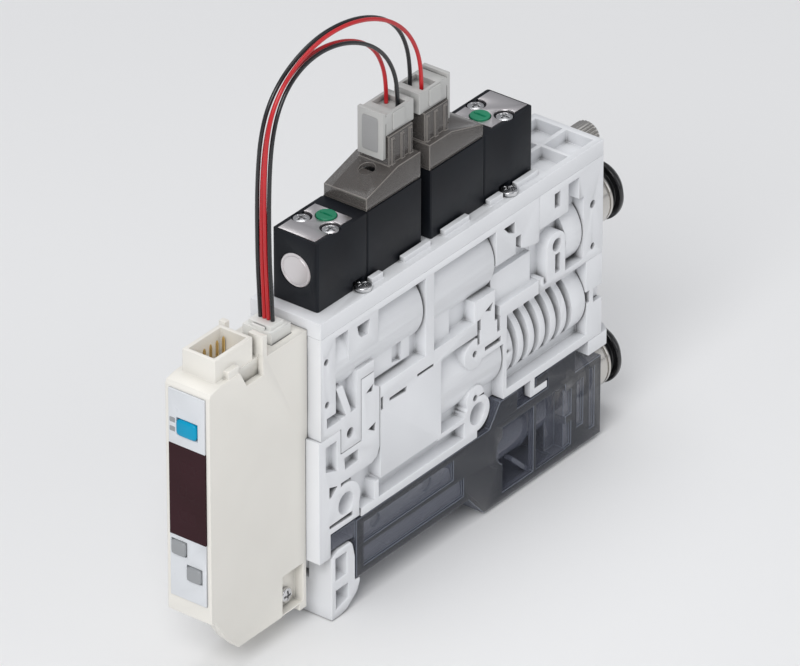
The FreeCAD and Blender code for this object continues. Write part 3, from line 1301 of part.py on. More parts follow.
def valve_plug(name, along):
    """Grey two-wire plug: a body over the tower, a latch lever, and a well for the leads."""
    end = L.front_long + L.coil_long
    start = end - 7.2 - 0.1
    tower_top = L.valve_tall + L.cover_tall + L.tower_tall
    half = L.plug_width / 2
    low, top = L.plug_low, L.plug_top
    block = box(f"{name}_plug_block", along.span(start, start + L.plug_long), (-half, half),
                (tower_top + 0.05, top))
    lever = box(f"{name}_plug_lever", along.span(start - 1.0, start - 0.15), (-half, half),
                (low - 4.0, top + 0.6))
    bridge = box(f"{name}_plug_bridge", along.span(start - 0.3, start + 0.3), (-half, half),
                 (top - 1.7, top - 0.3))
    well = box(f"{name}_plug_well", along.span(start + 2.4, start + L.plug_long - 1.6),
               (-half + 0.6, half - 0.6), (top - 1.2, top + OVER))
    tongue = box(f"{name}_plug_tongue", along.span(end - 6.3, end - 1.3), (-2.4, 2.4),
                 (tower_top - 4.0, tower_top + 0.1))
    solid = fuse(f"{name}_plug_solid", [block, lever, bridge, tongue])
    finish(f"{name}_plug", cut(f"{name}_plug_cut", solid, [well]))


def small_screws():
    """Nine alike cross-head screws: five at the valves' feet and four on the metal plates."""
    pieces = []
    places = [(x, y, 0) for x, y in screw_places()]
    for name, along in VALVES:
        for side in (-1, 1):
            places.append((along.point(PLATE_SCREW_AT), side * L.plate_screw_side,
                           L.valve_tall - L.plate_screw_drop))
    for index, (x, y, seat) in enumerate(places):
        head = rod(f"head_{index}", "Z", (x, y), L.head_radius, (seat, seat + L.head_tall))
        shank = rod(f"shank_{index}", "Z", (x, y), L.screw_radius, (seat - 2.9, seat + 0.1))
        solid = fuse(f"screw_{index}", [head, shank])
        high = seat + L.head_tall
        first = box(f"cross_{index}", (x - 0.95, x + 0.95), (as_size(y) - 0.2, as_size(y) + 0.2),
                    (high - 0.5, high + OVER))
        second = box(f"crossing_{index}", (x - 0.2, x + 0.2), (as_size(y) - 0.95, as_size(y) + 0.95),
                     (high - 0.5, high + OVER))
        pieces.append(cut(f"screw_cut_{index}", solid, [first, second]))
    finish("valve_screws", group("screws", pieces))


# Pressure switch


CHIN_SCREW = (-4.6, 2.6 - L.chin_drop)
KEYS = {
    "set_button": (-0.1, -10.7, 4.4, 3.2),
    "up_button": (1.95, -35.3, 3.2, 2.9),
    "down_button": (-1.4, -39.7, 3.2, 2.9),
}


def switch_housing():
    back = -0.05
    front = -L.switch_long
    half = L.switch_width / 2
    top, low, chin = -L.switch_top, -L.switch_drop, -L.chin_drop
    proud = -L.adapter_proud - 0.05
    step = -L.adapter_drop + 0.05
    outline = [
        (front + 0.4, top - 0.5), (front + 3.0, top), (back, top), (back, step), (proud, step),
        (proud, chin - 1.2), (-2.6, chin - 1.2), (-2.6, chin + 0.2), (-7.7, chin + 0.2),
        (-7.7, chin), (-13.4, chin), (-18.4, low), (front, low), (front, top - 1.2),
    ]
    block = prism("switch_block", "XZ", [outline], (-half, half))
    wing = [(front + 0.6, low + 0.3), (-17.0, low + 0.3), (-12.0, chin), (-19.8, chin),
            (-23.4, chin + 3.8)]
    wing = prism("switch_wing", "XZ", [wing], (-half, -half + 2.0))
    shroud = box("switch_shroud", (-24.0, -13.6), (-3.6, 3.6), (top - 0.2, 2.6))
    ridge = box("switch_ridge", (-12.4, -11.2), (-half, half), (top - 0.2, 2.3))
    latch = box("switch_latch", (-21.6, -18.6), (-half + 0.2, -3.5), (top - 0.2, -0.4))
    notch = [(-18.9, top + OVER), (-16.8, -5.3), (-12.3, -5.3), (-12.3, top + OVER)]
    depth = L.panel_thick - L.panel_proud
    panel_half = L.panel_width / 2
    seat = (-L.panel_drop, -L.panel_top)
    tools = [
        prism("switch_notch", "XZ", [notch], (-half - OVER, -half + 1.1)),
        box("socket_hole", (-23.2, -14.4), (-2.8, 2.8), (-5.6, 2.6 + OVER)),
        box("plug_hole", (-8.0, -2.4), (-3.3, 3.3), (-4.4, top + OVER)),
        box("ridge_gap", (-12.6, -11.0), (-1.6, 3.4), (top + 0.2, 2.3 + OVER)),
        box("panel_seat", (front - OVER, front + depth), (-panel_half, panel_half), seat),
        box("chin_pocket", (-7.4, -1.6), (-half - OVER, half + OVER), (chin + 0.4, low)),
        rod("chin_screw_hole", "Y", CHIN_SCREW, 0.85, (-half, half)),
    ]
    pocket_near = box("chin_web", (-7.4, -1.6), (-half + 2.0, half - 2.0), (chin + 0.2, low + 0.1))
    key_room = L.panel_thick + L.key_travel + 0.5
    for name, (y, z, wide, tall) in KEYS.items():
        tools.append(box(f"{name}_room", (front, front + key_room),
                         (y - wide / 2 - 0.3, y + wide / 2 + 0.3),
                         (z - tall / 2 - 0.3, z + tall / 2 + 0.3)))
    solid = fuse("switch_solid", [block, wing, shroud, ridge, latch])
    body = cut("switch_cut", solid, tools)
    web = cut("chin_web_cut", pocket_near, [rod("web_hole", "Y", CHIN_SCREW, 0.85, (-half, half))])
    finish("switch_housing", fuse("switch_whole", [body, web]))


def front_panel():
    """Pale panel on the switch's front face, open for the display and the three keys."""
    front = -L.switch_long
    half = L.panel_width / 2
    x = (front - L.panel_proud, front - L.panel_proud + L.panel_thick)
    sheet = box("panel_sheet", x, (-half, half), (-L.panel_drop, -L.panel_top))
    tools = []
    gap = L.key_gap
    for name, (y, z, wide, tall) in KEYS.items():
        tools.append(box(f"{name}_hole", (x[0] - 1, x[1] + 1), (y - wide / 2 - gap, y + wide / 2 + gap),
                         (z - tall / 2 - gap, z + tall / 2 + gap)))
    tools.append(box("window_seat", (x[0] - 1, x[0] + 0.5), (-half - 1, half + 1),
                     (-L.window_drop, -L.window_top)))
    finish("switch_front_panel", cut("panel_cut", sheet, tools))
    window = box("window", (x[0], x[0] + 0.5), (-half, half), (-L.window_drop, -L.window_top))
    finish("display_window", window)


def keys():
    """The blue set key and two grey keys, each a pad that stands proud of the panel."""
    front = -L.switch_long - L.panel_proud
    for name, (y, z, wide, tall) in KEYS.items():
        pad = box(name + "_pad", (front - 0.55, front + L.panel_thick + 0.1), (y - wide / 2, y + wide / 2),
                  (z - tall / 2, z + tall / 2))
        soft = DOC.addObject("Part::Fillet", name + "_soft")
        soft.Base = pad
        soft.Edges = [(edge, 0.35, 0.35) for edge in (1, 2, 3, 4)]
        finish(name, soft)


def switch_fittings():
    """Gold pins in the open socket, the four-wire plug, and the screw in the chin."""
    pins = [box(f"switch_pin_{index}", (-22.2 + 1.75 * index, -21.8 + 1.75 * index), (1.5, 1.9),
                (-5.6, 1.4)) for index in range(5)]
    finish("switch_pins", group("pins", pins))
    middle = -L.wire_plug_at
    base = box("wire_plug_base", (middle - 2.7, middle + 2.7), (-3.2, 3.2), (-4.3, 0.2))
    head = box("wire_plug_head", (middle - 1.9, middle + 1.6), (-2.5, 2.5), (0, 1.0))
    bar = box("wire_plug_bar", (middle - 2.6, middle - 2.1), (-1.4, 1.4), (0, 0.8))
    finish("switch_plug", fuse("wire_plug", [base, head, bar]))
    half = L.switch_width / 2
    face = -half + 2.0
    head = rod("chin_head", "Y", CHIN_SCREW, 1.45, (face - 1.0, face))
    shank = rod("chin_shank", "Y", CHIN_SCREW, 0.8, (face - 0.1, face + 4.0))
    cross = [
        box("chin_cross", (-5.4, -3.8), (face - 1.5, face - 0.55), (-54.6, -54.2)),
        box("chin_crossing", (-4.8, -4.4), (face - 1.5, face - 0.55), (-55.2, -53.6)),
    ]
    finish("switch_screw", cut("chin_screw", fuse("chin_screw_solid", [head, shank]), cross))


# Leads from the valve plugs to the four-wire plug


INNER_WAY = [
    (30.2, 27.45), (30.2, 30.6), (29.3, 35.0), (26.8, 39.4), (22.8, 43.0), (17.4, 45.7), (11.6, 47.1),
    (5.9, 46.9), (1.0, 44.8), (-2.4, 41.1), (-4.4, 36.2), (-5.3, 30.6), (-5.7, 24.4), (-5.8, 18.0),
    (-5.7, 11.8), (-5.4, 6.0), (-5.2, 1.05),
]
OUTER_WAY = [
    (37.0, 27.45), (37.0, 31.0), (36.1, 36.0), (33.4, 40.9), (29.0, 44.9), (23.2, 47.8), (16.8, 49.4),
    (10.4, 49.6), (4.6, 48.2), (-0.4, 45.7), (-3.9, 41.8), (-5.8, 36.6), (-6.5, 30.7), (-6.8, 24.4),
    (-6.7, 18.0), (-6.3, 11.8), (-5.6, 6.0), (-5.2, 1.05),
]
INNER_RED = [1.25, 1.25, 1.15, 0.9, 0.65, 0.5, 0.48, 0.46, 0.45, 0.44, 0.45, 0.45, 0.45, 0.46, 0.46,
             0.45, 0.45]
INNER_BLACK = [-1.25, -1.25, -1.2, -1.0, -0.75, -0.55, -0.5, -0.5, -0.6, -0.8, -1.05, -1.25, -1.35,
               -1.4, -1.45, -1.4, -1.35]
OUTER_BLACK = [1.25, 1.25, 1.2, 1.0, 0.75, 0.55, 0.5, 0.5, 0.55, 0.7, 0.95, 1.2, 1.35, 1.42, 1.5,
               1.7, 1.55, 1.35]
OUTER_RED = [-1.25, -1.25, -1.15, -0.9, -0.65, -0.5, -0.48, -0.46, -0.45, -0.45, -0.45, -0.45,
             -0.45, -0.46, -0.46, -0.45, -0.45, -0.45]
LEADS = {
    "supply_lead_red": (INNER_WAY, INNER_RED),
    "supply_lead_black": (INNER_WAY, INNER_BLACK),
    "release_lead_black": (OUTER_WAY, OUTER_BLACK),
    "release_lead_red": (OUTER_WAY, OUTER_RED),
}


def lead_path(points):
    """Straight runs joined by tangent arcs as large as the runs allow."""
    edges = []
    radii = []
    here = points[0]
    for before, corner, after in zip(points, points[1:], points[2:]):
        back = (before - corner).normalize()
        ahead = (after - corner).normalize()
        short = min((corner - before).Length, (after - corner).Length)
        reach = 0.45 * short
        half_turn = (math.pi - back.getAngle(ahead)) / 2
        radii.append(reach / math.tan(half_turn))
        start = corner + back * reach
        end = corner + ahead * reach
        middle_way = (back + ahead).normalize()
        centre = corner + middle_way * (radii[-1] / math.cos(half_turn))
        middle = centre - middle_way * radii[-1]
        edges.append(Part.LineSegment(here, start).toShape())
        edges.append(Part.Arc(start, middle, end).toShape())
        here = end
    edges.append(Part.LineSegment(here, points[-1]).toShape())
    return Part.Wire(edges), radii


def leads():
    """Four thin leads, each a tube along its own route."""
    radius = L.wire_radius.value
    for label, (way, sides) in LEADS.items():
        points = [VECTOR(x, y, z) for (x, z), y in zip(way, sides)]
        path, radii = lead_path(points)
        ring = Part.Wire(Part.Circle(points[0], points[1] - points[0], radius).toShape())
        tube = path.makePipeShell([ring], True, False)
        lead = DOC.addObject("Part::Feature", label + "_tube")
        lead.Shape = tube
        expected = math.pi * radius ** 2 * path.Length
        print(f"{label}: length {path.Length:.1f}, tightest radius {min(radii):.1f},"
              f" volume ratio {tube.Volume / expected:.4f}")
        finish(label, lead)


def build():
    valve_base()
    valve_gaskets()
    ejector_body()
    spools()
    ejector()
    silencer_cap()
    check_valve()
    port_block()
    fitting("supply", L.supply_drop)
    fitting("vacuum", L.vacuum_drop)
    needle()
    retainer_plate()
    switch_adapter()
    lock_lever()
    filter_case()
    filter_parts()
    filter_seal()
    for name, along in VALVES:
        valve_body(name, along)
        coil_case(name, along)
        valve_cover(name, along)
        valve_plate(name, along)
        override_button(name, along)
        plunger(name, along)
        valve_plug(name, along)
    valve_inserts()
    small_screws()
    switch_housing()
    front_panel()
    keys()
    switch_fittings()
    leads()


def check_and_write():
    """Stop on any failed object, then write one file for each sub-part."""
    DOC.recompute()
    for item in DOC.Objects:
        if "Invalid" in item.State or "Error" in item.State:
            raise RuntimeError(f"{item.Name} failed: {item.State}")
    for piece in FINISHED:
        if piece.Shape.isNull() or not piece.Shape.isValid():
            raise RuntimeError(f"{piece.Label} has no valid shape")
    os.makedirs("parts", exist_ok=True)
    for piece in FINISHED:
        piece.Shape.exportStep(f"parts/{piece.Label}.step")
    print(len(FINISHED), "sub-parts written")


build()
check_and_write()
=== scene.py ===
# %% [markdown]
# # A vacuum generator in the studio
#
# The object is a slim moulded block that makes vacuum from compressed air. Two black pilot
# valves stand on it, a cream pressure switch is clipped to one end and two push-in fittings
# leave the other. Every rigid piece already exists as a solid of the real size. This lesson
# dresses those solids: it rounds their edges, gives each its finish, and adds the pieces that
# are too fine for the solids, such as threads, knurls, screw heads and the leads.

# %% The fixed frame
import json
import math

import bmesh
import bpy
import numpy as np
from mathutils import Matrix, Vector


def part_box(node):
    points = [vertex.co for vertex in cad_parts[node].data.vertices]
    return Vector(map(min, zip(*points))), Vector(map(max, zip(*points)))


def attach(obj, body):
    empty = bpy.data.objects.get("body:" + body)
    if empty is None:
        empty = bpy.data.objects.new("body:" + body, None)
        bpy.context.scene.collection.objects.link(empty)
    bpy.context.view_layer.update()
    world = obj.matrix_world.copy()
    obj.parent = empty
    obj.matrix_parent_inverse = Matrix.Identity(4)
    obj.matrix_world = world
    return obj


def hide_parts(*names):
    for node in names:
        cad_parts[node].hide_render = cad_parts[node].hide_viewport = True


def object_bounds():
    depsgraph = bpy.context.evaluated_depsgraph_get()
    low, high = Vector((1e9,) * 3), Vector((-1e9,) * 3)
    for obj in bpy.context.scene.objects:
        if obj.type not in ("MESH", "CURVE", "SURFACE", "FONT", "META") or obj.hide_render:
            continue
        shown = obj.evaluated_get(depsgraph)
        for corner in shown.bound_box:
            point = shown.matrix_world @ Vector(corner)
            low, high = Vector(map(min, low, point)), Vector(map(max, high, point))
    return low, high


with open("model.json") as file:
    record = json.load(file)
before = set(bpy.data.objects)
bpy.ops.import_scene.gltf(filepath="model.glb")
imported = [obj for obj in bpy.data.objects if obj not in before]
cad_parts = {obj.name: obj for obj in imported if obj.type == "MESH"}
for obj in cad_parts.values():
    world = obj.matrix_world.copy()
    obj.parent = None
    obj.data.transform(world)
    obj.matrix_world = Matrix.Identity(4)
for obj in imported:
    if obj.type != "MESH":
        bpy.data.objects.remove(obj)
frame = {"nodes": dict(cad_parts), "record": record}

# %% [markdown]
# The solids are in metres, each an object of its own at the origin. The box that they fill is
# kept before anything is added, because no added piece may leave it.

MM = 0.001
cad_box = [list(corner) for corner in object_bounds()]
nodes = frame["nodes"]
scene = bpy.context.scene
print("nodes", len(nodes), "solid box", cad_box)

# %% [markdown]
# ## Where things are
#
# Places on the object are easiest to tell from two faces of the white body: x along it from its
# switch end, and z up from its top face, so that most of the body has a negative z. These are
# the drawing millimetres of the cells below. The frame's origin lies midway between the two
# mounting holes instead, and one small function turns drawing millimetres into frame metres.

# %% Drawing millimetres to frame metres
BODY_START = -26.0
BODY_TOP = 39.5
BODY_LONG = 82.0
HALF_WIDTH = 7.75


def shift(points):
    """Frame metres of an array whose last axis holds x, y, z in drawing millimetres."""
    return (np.asarray(points, float) + (BODY_START, 0.0, BODY_TOP)) * MM


print("origin of the drawing in the frame", shift((0, 0, 0)))

# %% [markdown]
# ## The camera
#
# The picture was taken from well above and to the left with a very long lens, so that upright
# edges stay upright and the slim block shows its side, its top and its switch at once. The
# camera could be placed by eye, but it is easier to keep it on one line of sight and measure
# how wide the object looks from there: the corners of all solids are laid on the picture's two
# axes, the camera aims at the middle of their spread, and the lens follows from the share of
# the picture that they should fill.

# %% Line of sight and lens
AZIMUTH = math.radians(-52.4)
ELEVATION = math.radians(30.8)
DISTANCE = 1.683
IMAGE_WIDTH, IMAGE_HEIGHT = 800, 666
FILL = 0.93

toward_camera = np.array([
    math.sin(AZIMUTH) * math.cos(ELEVATION),
    -math.cos(AZIMUTH) * math.cos(ELEVATION),
    math.sin(ELEVATION),
])
right = np.array([math.cos(AZIMUTH), math.sin(AZIMUTH), 0.0])
up = np.cross(toward_camera, right)


def spread(axis):
    """Lowest and highest reach of every solid along one direction."""
    reaches = []
    for node in nodes.values():
        points = np.empty(len(node.data.vertices) * 3)
        node.data.vertices.foreach_get("co", points)
        reaches.append(points.reshape(-1, 3) @ axis)
    reach = np.concatenate(reaches)
    return reach.min(), reach.max()


across, along = spread(right), spread(up)
aim = right * sum(across) / 2 + up * sum(along) / 2
wide, tall = across[1] - across[0], along[1] - along[0]
view_height = max(tall, wide * IMAGE_HEIGHT / IMAGE_WIDTH) / FILL
view_width = view_height * IMAGE_WIDTH / IMAGE_HEIGHT
print("object", round(wide, 4), "m wide and", round(tall, 4), "m tall in the picture")

# %% [markdown]
# The length of the lens is to the width of the sensor what the distance is to the width of the
# view, so a far camera needs a very long lens.

# %% Camera
camera_data = bpy.data.cameras.new("studio_camera")
camera_data.lens = camera_data.sensor_width * DISTANCE / view_width
camera_data.clip_start, camera_data.clip_end = 0.05, 20.0
camera = bpy.data.objects.new("studio_camera", camera_data)
camera.location = Vector(aim + toward_camera * DISTANCE)
camera.rotation_euler = (math.pi / 2 - ELEVATION, 0.0, AZIMUTH)
scene.collection.objects.link(camera)
scene.camera = camera
print("lens", round(camera_data.lens, 1), "mm, view", round(view_width, 4), "m wide")

# %% [markdown]
# ## The leads
#
# Two thin leads, red and black, leave the plug of each pilot valve. They rise, bend over
# together and drop into the four-wire plug of the switch. A lead could be a swept tube, but a
# curve with a round bevel bends more smoothly and stays easy to edit. The points are control
# points, and the NURBS line passes just inside them. Both leads of a plug share one way in
# the long plane, and each has its own distance from the middle plane.

# %% Ways of the leads
INNER_WAY = [
    (30.2, 27.45), (30.2, 30.6), (29.3, 35.0), (26.8, 39.4), (22.8, 43.0), (17.4, 45.7), (11.6, 47.1),
    (5.9, 46.9), (1.0, 44.8), (-2.4, 41.1), (-4.4, 36.2), (-5.3, 30.6), (-5.7, 24.4), (-5.8, 18.0),
    (-5.7, 11.8), (-5.4, 6.0), (-5.2, 1.05),
]
OUTER_WAY = [
    (37.0, 27.45), (37.0, 31.0), (36.1, 36.0), (33.4, 40.9), (29.0, 44.9), (23.2, 47.8), (16.8, 49.4),
    (10.4, 49.6), (4.6, 48.2), (-0.3, 45.5), (-3.6, 41.6), (-5.3, 36.6), (-5.9, 30.7), (-6.1, 24.4),
    (-6.0, 18.0), (-5.8, 11.8), (-5.45, 6.0), (-5.2, 1.05),
]
INNER_RED = [1.25, 1.25, 1.15, 0.9, 0.65, 0.5, 0.48, 0.46, 0.45, 0.44, 0.45, 0.45, 0.45, 0.46, 0.46,
             0.45, 0.45]
INNER_BLACK = [-1.25, -1.25, -1.2, -1.0, -0.75, -0.55, -0.5, -0.5, -0.55, -0.7, -0.9, -1.05, -1.15,
               -1.2, -1.25, -1.3, -1.35]
OUTER_BLACK = [1.25, 1.25, 1.2, 1.0, 0.75, 0.55, 0.5, 0.5, 0.52, 0.6, 0.75, 0.9, 1.05, 1.15, 1.25,
               1.35, 1.38, 1.35]
OUTER_RED = [-1.25, -1.25, -1.15, -0.9, -0.65, -0.5, -0.48, -0.46, -0.45, -0.45, -0.45, -0.45,
             -0.45, -0.46, -0.46, -0.45, -0.45, -0.45]
LEAD_RADIUS = 0.38 * MM
# name of the lead: its way, its distances from the middle plane, its length in metres
LEADS = {
    "supply_lead_red": (INNER_WAY, INNER_RED, 0.0863),
    "supply_lead_black": (INNER_WAY, INNER_BLACK, 0.0864),
    "release_lead_black": (OUTER_WAY, OUTER_BLACK, 0.0973),
    "release_lead_red": (OUTER_WAY, OUTER_RED, 0.0973),
}

print("points of the two ways", len(INNER_WAY), len(OUTER_WAY))

# %% Curves of the leads


def lead_curve(name, way, sides):
    """A NURBS line of order three on control points (x, side, z), with a round bevel."""
    points = shift([(x, side, z) for (x, z), side in zip(way, sides)])
    curve = bpy.data.curves.new(name, "CURVE")
    curve.dimensions = "3D"
    curve.bevel_depth = 1.0  # times the radius of each point
    curve.bevel_resolution = 5
    curve.resolution_u = 8
    curve.use_fill_caps = True
    spline = curve.splines.new("NURBS")
    spline.points.add(len(points) - 1)
    spline.points.foreach_set("co", np.c_[points, np.ones(len(points))].ravel())
    spline.points.foreach_set("radius", np.full(len(points), LEAD_RADIUS))
    spline.order_u = 3
    spline.use_endpoint_u = True
    piece = bpy.data.objects.new(name, curve)
    scene.collection.objects.link(piece)
    return piece, points


sheaths = {}
for name, (way, sides, length) in LEADS.items():
    piece, points = lead_curve(name + "_sheath", way, sides)
    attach(piece, "body")
    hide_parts(name)
    sheaths[name] = piece
print("leads", len(sheaths))

# %% [markdown]
# ## The studio
#
# A seamless pale floor and soft light: one broad lamp high on the left, a weaker one on the
# right and one overhead. The shadows are soft because the lamps are large beside the object.
# The floor is not part of the object.

# %% Floor
FLOOR_SIZE, FLOOR_GAP = 6.0, 0.1 * MM
floor_height = cad_box[0][2] - FLOOR_GAP

floor_mesh = bpy.data.meshes.new("studio_floor")
reach = FLOOR_SIZE / 2
floor_mesh.from_pydata([(-reach, -reach, floor_height), (reach, -reach, floor_height),
                        (reach, reach, floor_height), (-reach, reach, floor_height)], [], [(0, 1, 2, 3)])
floor = bpy.data.objects.new("studio_floor", floor_mesh)
scene.collection.objects.link(floor)
print("floor at", round(floor_height, 5))

# %% [markdown]
# Each lamp stands at a distance from the aim point in a direction of its own and looks back at it.

# %% Lamps


def lamp(name, direction, distance, size, watts):
    """A square soft lamp that looks at the aim point from a direction given as x, y, z."""
    data = bpy.data.lights.new(name, "AREA")
    data.shape = "SQUARE"
    data.size = size
    data.energy = watts
    piece = bpy.data.objects.new(name, data)
    away = Vector(direction).normalized()
    piece.location = Vector(aim) + away * distance
    piece.rotation_euler = away.to_track_quat("Z", "Y").to_euler()
    scene.collection.objects.link(piece)


lamp("key_lamp", direction=(-1.0, -0.4, 0.95), distance=1.2, size=0.6, watts=8.0)
lamp("side_lamp", direction=(0.55, -1.0, 0.45), distance=1.3, size=0.8, watts=1.9)
lamp("top_lamp", direction=(0.1, 0.15, 1.0), distance=1.2, size=0.8, watts=4.0)

# %% [markdown]
# The air of the studio gives a little cool light from all sides, so that no shade is black. The
# plain Standard view keeps the colours of the finishes as they are set.

# %% Air and view
AIR_COLOUR, AIR_STRENGTH = (0.93, 0.95, 1.0, 1.0), 0.36

world = bpy.data.worlds.new("studio_air")
world.use_nodes = True
air = world.node_tree.nodes["Background"].inputs
air["Color"].default_value = AIR_COLOUR
air["Strength"].default_value = AIR_STRENGTH
scene.world = world
scene.view_settings.view_transform = "Standard"
print("air", AIR_STRENGTH, "view", scene.view_settings.view_transform)

# %% [markdown]
# ## A small language for finishes
#
# A finish is a tree of shader nodes. Wired by hand, each addition takes three lines, and the
# formula is lost. `Value` wraps one socket and carries the usual signs, so that `1 - mask`
# adds the Math node by itself. `Finish.node` makes any other node from its type, its settings
# and the values or links of its sockets.

# %% Value


class Value:
    """A number that changes over a surface: one output socket with the usual operators."""

    def __init__(self, finish, socket):
        self.finish = finish
        self.socket = socket

    def work(self, operation, *numbers):
        """The output of a Math node with this operation and these inputs."""
        return self.finish.node("ShaderNodeMath", {"operation": operation}, dict(enumerate(numbers)))

    def __add__(self, other):
        return self.work("ADD", self, other)

    def __radd__(self, other):
        return self.work("ADD", other, self)

    def __sub__(self, other):
        return self.work("SUBTRACT", self, other)

    def __rsub__(self, other):
        return self.work("SUBTRACT", other, self)

    def __mul__(self, other):
        return self.work("MULTIPLY", self, other)

    def __rmul__(self, other):
        return self.work("MULTIPLY", other, self)

    def above(self, low, high):
        """Nought up to low, one from high, and a smooth step between."""
        settings = {"interpolation_type": "SMOOTHSTEP"}
        sockets = {"Value": self, "From Min": low, "From Max": high}
        return self.finish.node("ShaderNodeMapRange", settings, sockets)


print("Value does", sorted(name for name in vars(Value) if callable(getattr(Value, name))))

# %% [markdown]
# Small moulded holes look dark because little light finds its way in. The Ambient Occlusion node measures
# how much sky is open round a point, so a finish can paint that shade into its colour where the point is
# shut in.
# It comes from the forms near that point alone, so it stays in place when the camera moves.

# %% Finish
SKY_RAYS = 8
# shares and thresholds of the painted shade that darkens recesses
EVEN_SHARE = 0.35
DEEP_FROM, DEEP_TO = 0.45, 0.84
PINCHED_FROM, PINCHED_TO = 0.45, 0.66


def rgba(colour):
    """A colour with its alpha; a Value stays as it is."""
    return colour if isinstance(colour, Value) else (*colour, 1.0)


class Finish:
    """One material under construction, for pieces whose patterns read Object coordinates."""

    def __init__(self, name):
        self.material = bpy.data.materials.new(name)
        self.material.use_nodes = True
        self.tree = self.material.node_tree
        self.tree.nodes.clear()
        self.place = self.node("ShaderNodeTexCoord", {}, {}, "Object")

    def node(self, kind, settings, sockets, output=0):
        """Add a node: settings are set first, then each socket gets a number, colour or link."""
        node = self.tree.nodes.new(kind)
        for key, value in settings.items():
            setattr(node, key, value)
        for key, value in sockets.items():
            if isinstance(value, Value):
                self.tree.links.new(value.socket, node.inputs[key])
            else:
                node.inputs[key].default_value = value
        return Value(self, node.outputs[output]) if len(node.outputs) else node

    def grain(self, size, detail=2.0, stretch=(1.0, 1.0, 1.0)):
        """Noise from nought to one whose blotches are about size metres wide."""
        scaled = self.node("ShaderNodeMapping", {}, {"Vector": self.place, "Scale": stretch})
        sockets = {"Vector": scaled, "Scale": 1.0 / size, "Detail": detail}
        return self.node("ShaderNodeTexNoise", {}, sockets)

    def blend(self, mask, first, second):
        """A colour between two colours: the first where mask is nought."""
        settings = {"data_type": "RGBA"}
        sockets = {0: mask, 6: rgba(first), 7: rgba(second)}
        return self.node("ShaderNodeMix", settings, sockets, 2)

    def open_sky(self, reach):
        """Share of the directions from a point that nothing blocks within reach metres."""
        return self.node("ShaderNodeAmbientOcclusion", {"samples": SKY_RAYS}, {"Distance": reach}, "AO")

    def with_painted_shade(self, colour, dark, share, reach):
        """A colour with painted shade: up to share of it turns to dark where little sky is open within
        reach.

        EVEN_SHARE of the painted shade grows evenly with what is shut in. The rest comes in deep pockets,
        and in holes so narrow that half the reach already shuts them in.
        """
        shut_in, pinched = (1.0 - self.open_sky(far) for far in (reach, reach / 2))
        deep = shut_in.work("MAXIMUM", shut_in.above(DEEP_FROM, DEEP_TO),
                            pinched.above(PINCHED_FROM, PINCHED_TO))
        return self.blend((shut_in * EVEN_SHARE + deep * (1.0 - EVEN_SHARE)) * share, colour, dark)

    def bump(self, height, depth, strength):
        """Surface normals of a height from nought to one that is depth metres tall."""
        sockets = {"Height": height, "Distance": depth, "Strength": strength}
        return self.node("ShaderNodeBump", {}, sockets)

    def done(self, **sockets):
        """Feed the surface shader. Underscores in a name stand for spaces."""
        named = {key.replace("_", " "): value for key, value in sockets.items()}
        named["Base Color"] = rgba(named["Base Color"])
        shader = self.node("ShaderNodeBsdfPrincipled", {}, named)
        self.node("ShaderNodeOutputMaterial", {}, {"Surface": shader})
        return self.material


print("Finish does", sorted(name for name in vars(Finish) if not name.startswith("_")))

# %% [markdown]
# ## Moulded plastics
#
# Most of the object is moulded. A moulded face is never quite even: the tool leaves a very
# fine texture, the gloss wanders a little, and the colour is a touch darker where the plastic
# flowed thick. Three noises of three sizes do that: a broad one for colour, a middle one for
# gloss and a fine one for the bump. One function makes every plastic, and the table below it
# holds only what differs.

# %% Plastic finishes
FLOW_SIZE, GLOSS_SIZE, PORE_SIZE = 9 * MM, 1.6 * MM, 0.22 * MM
FLOW_FROM, FLOW_TO = 0.35, 0.7
GLOSS_SWING, PORE_STRENGTH = 0.12, 0.35
# reach and near-black colour of the painted shade in recesses
POCKET_REACH, POCKET_SHADE = 2.6 * MM, 0.04


def plastic(name, colour, shade, rough, texture=0.012, coat=0.0, recess_shade=0.0, level=0.5):
    """Moulded plastic: colour and its darker shade, mean roughness, texture depth in millimetres.

    recess_shade is how much painted shade darkens the colour deep in a recess, and level the strength of the
    gloss.
    """
    finish = Finish(name)
    flow = finish.grain(FLOW_SIZE, 1.0)
    body_colour = finish.blend(flow.above(FLOW_FROM, FLOW_TO), colour, shade)
    # painted shade: the colour darkens deep in recesses and small holes, where little sky is open
    if recess_shade:
        dark = tuple(POCKET_SHADE * part for part in colour)
        body_colour = finish.with_painted_shade(body_colour, dark, recess_shade, POCKET_REACH)
    gloss = finish.grain(GLOSS_SIZE, 3.0)
    pores = finish.grain(PORE_SIZE, 2.0)
    return finish.done(
        Base_Color=body_colour,
        Roughness=gloss * GLOSS_SWING + (rough - GLOSS_SWING / 2),
        Specular_IOR_Level=level,
        Coat_Weight=coat,
        Normal=finish.bump(pores, texture * MM, PORE_STRENGTH),
    )
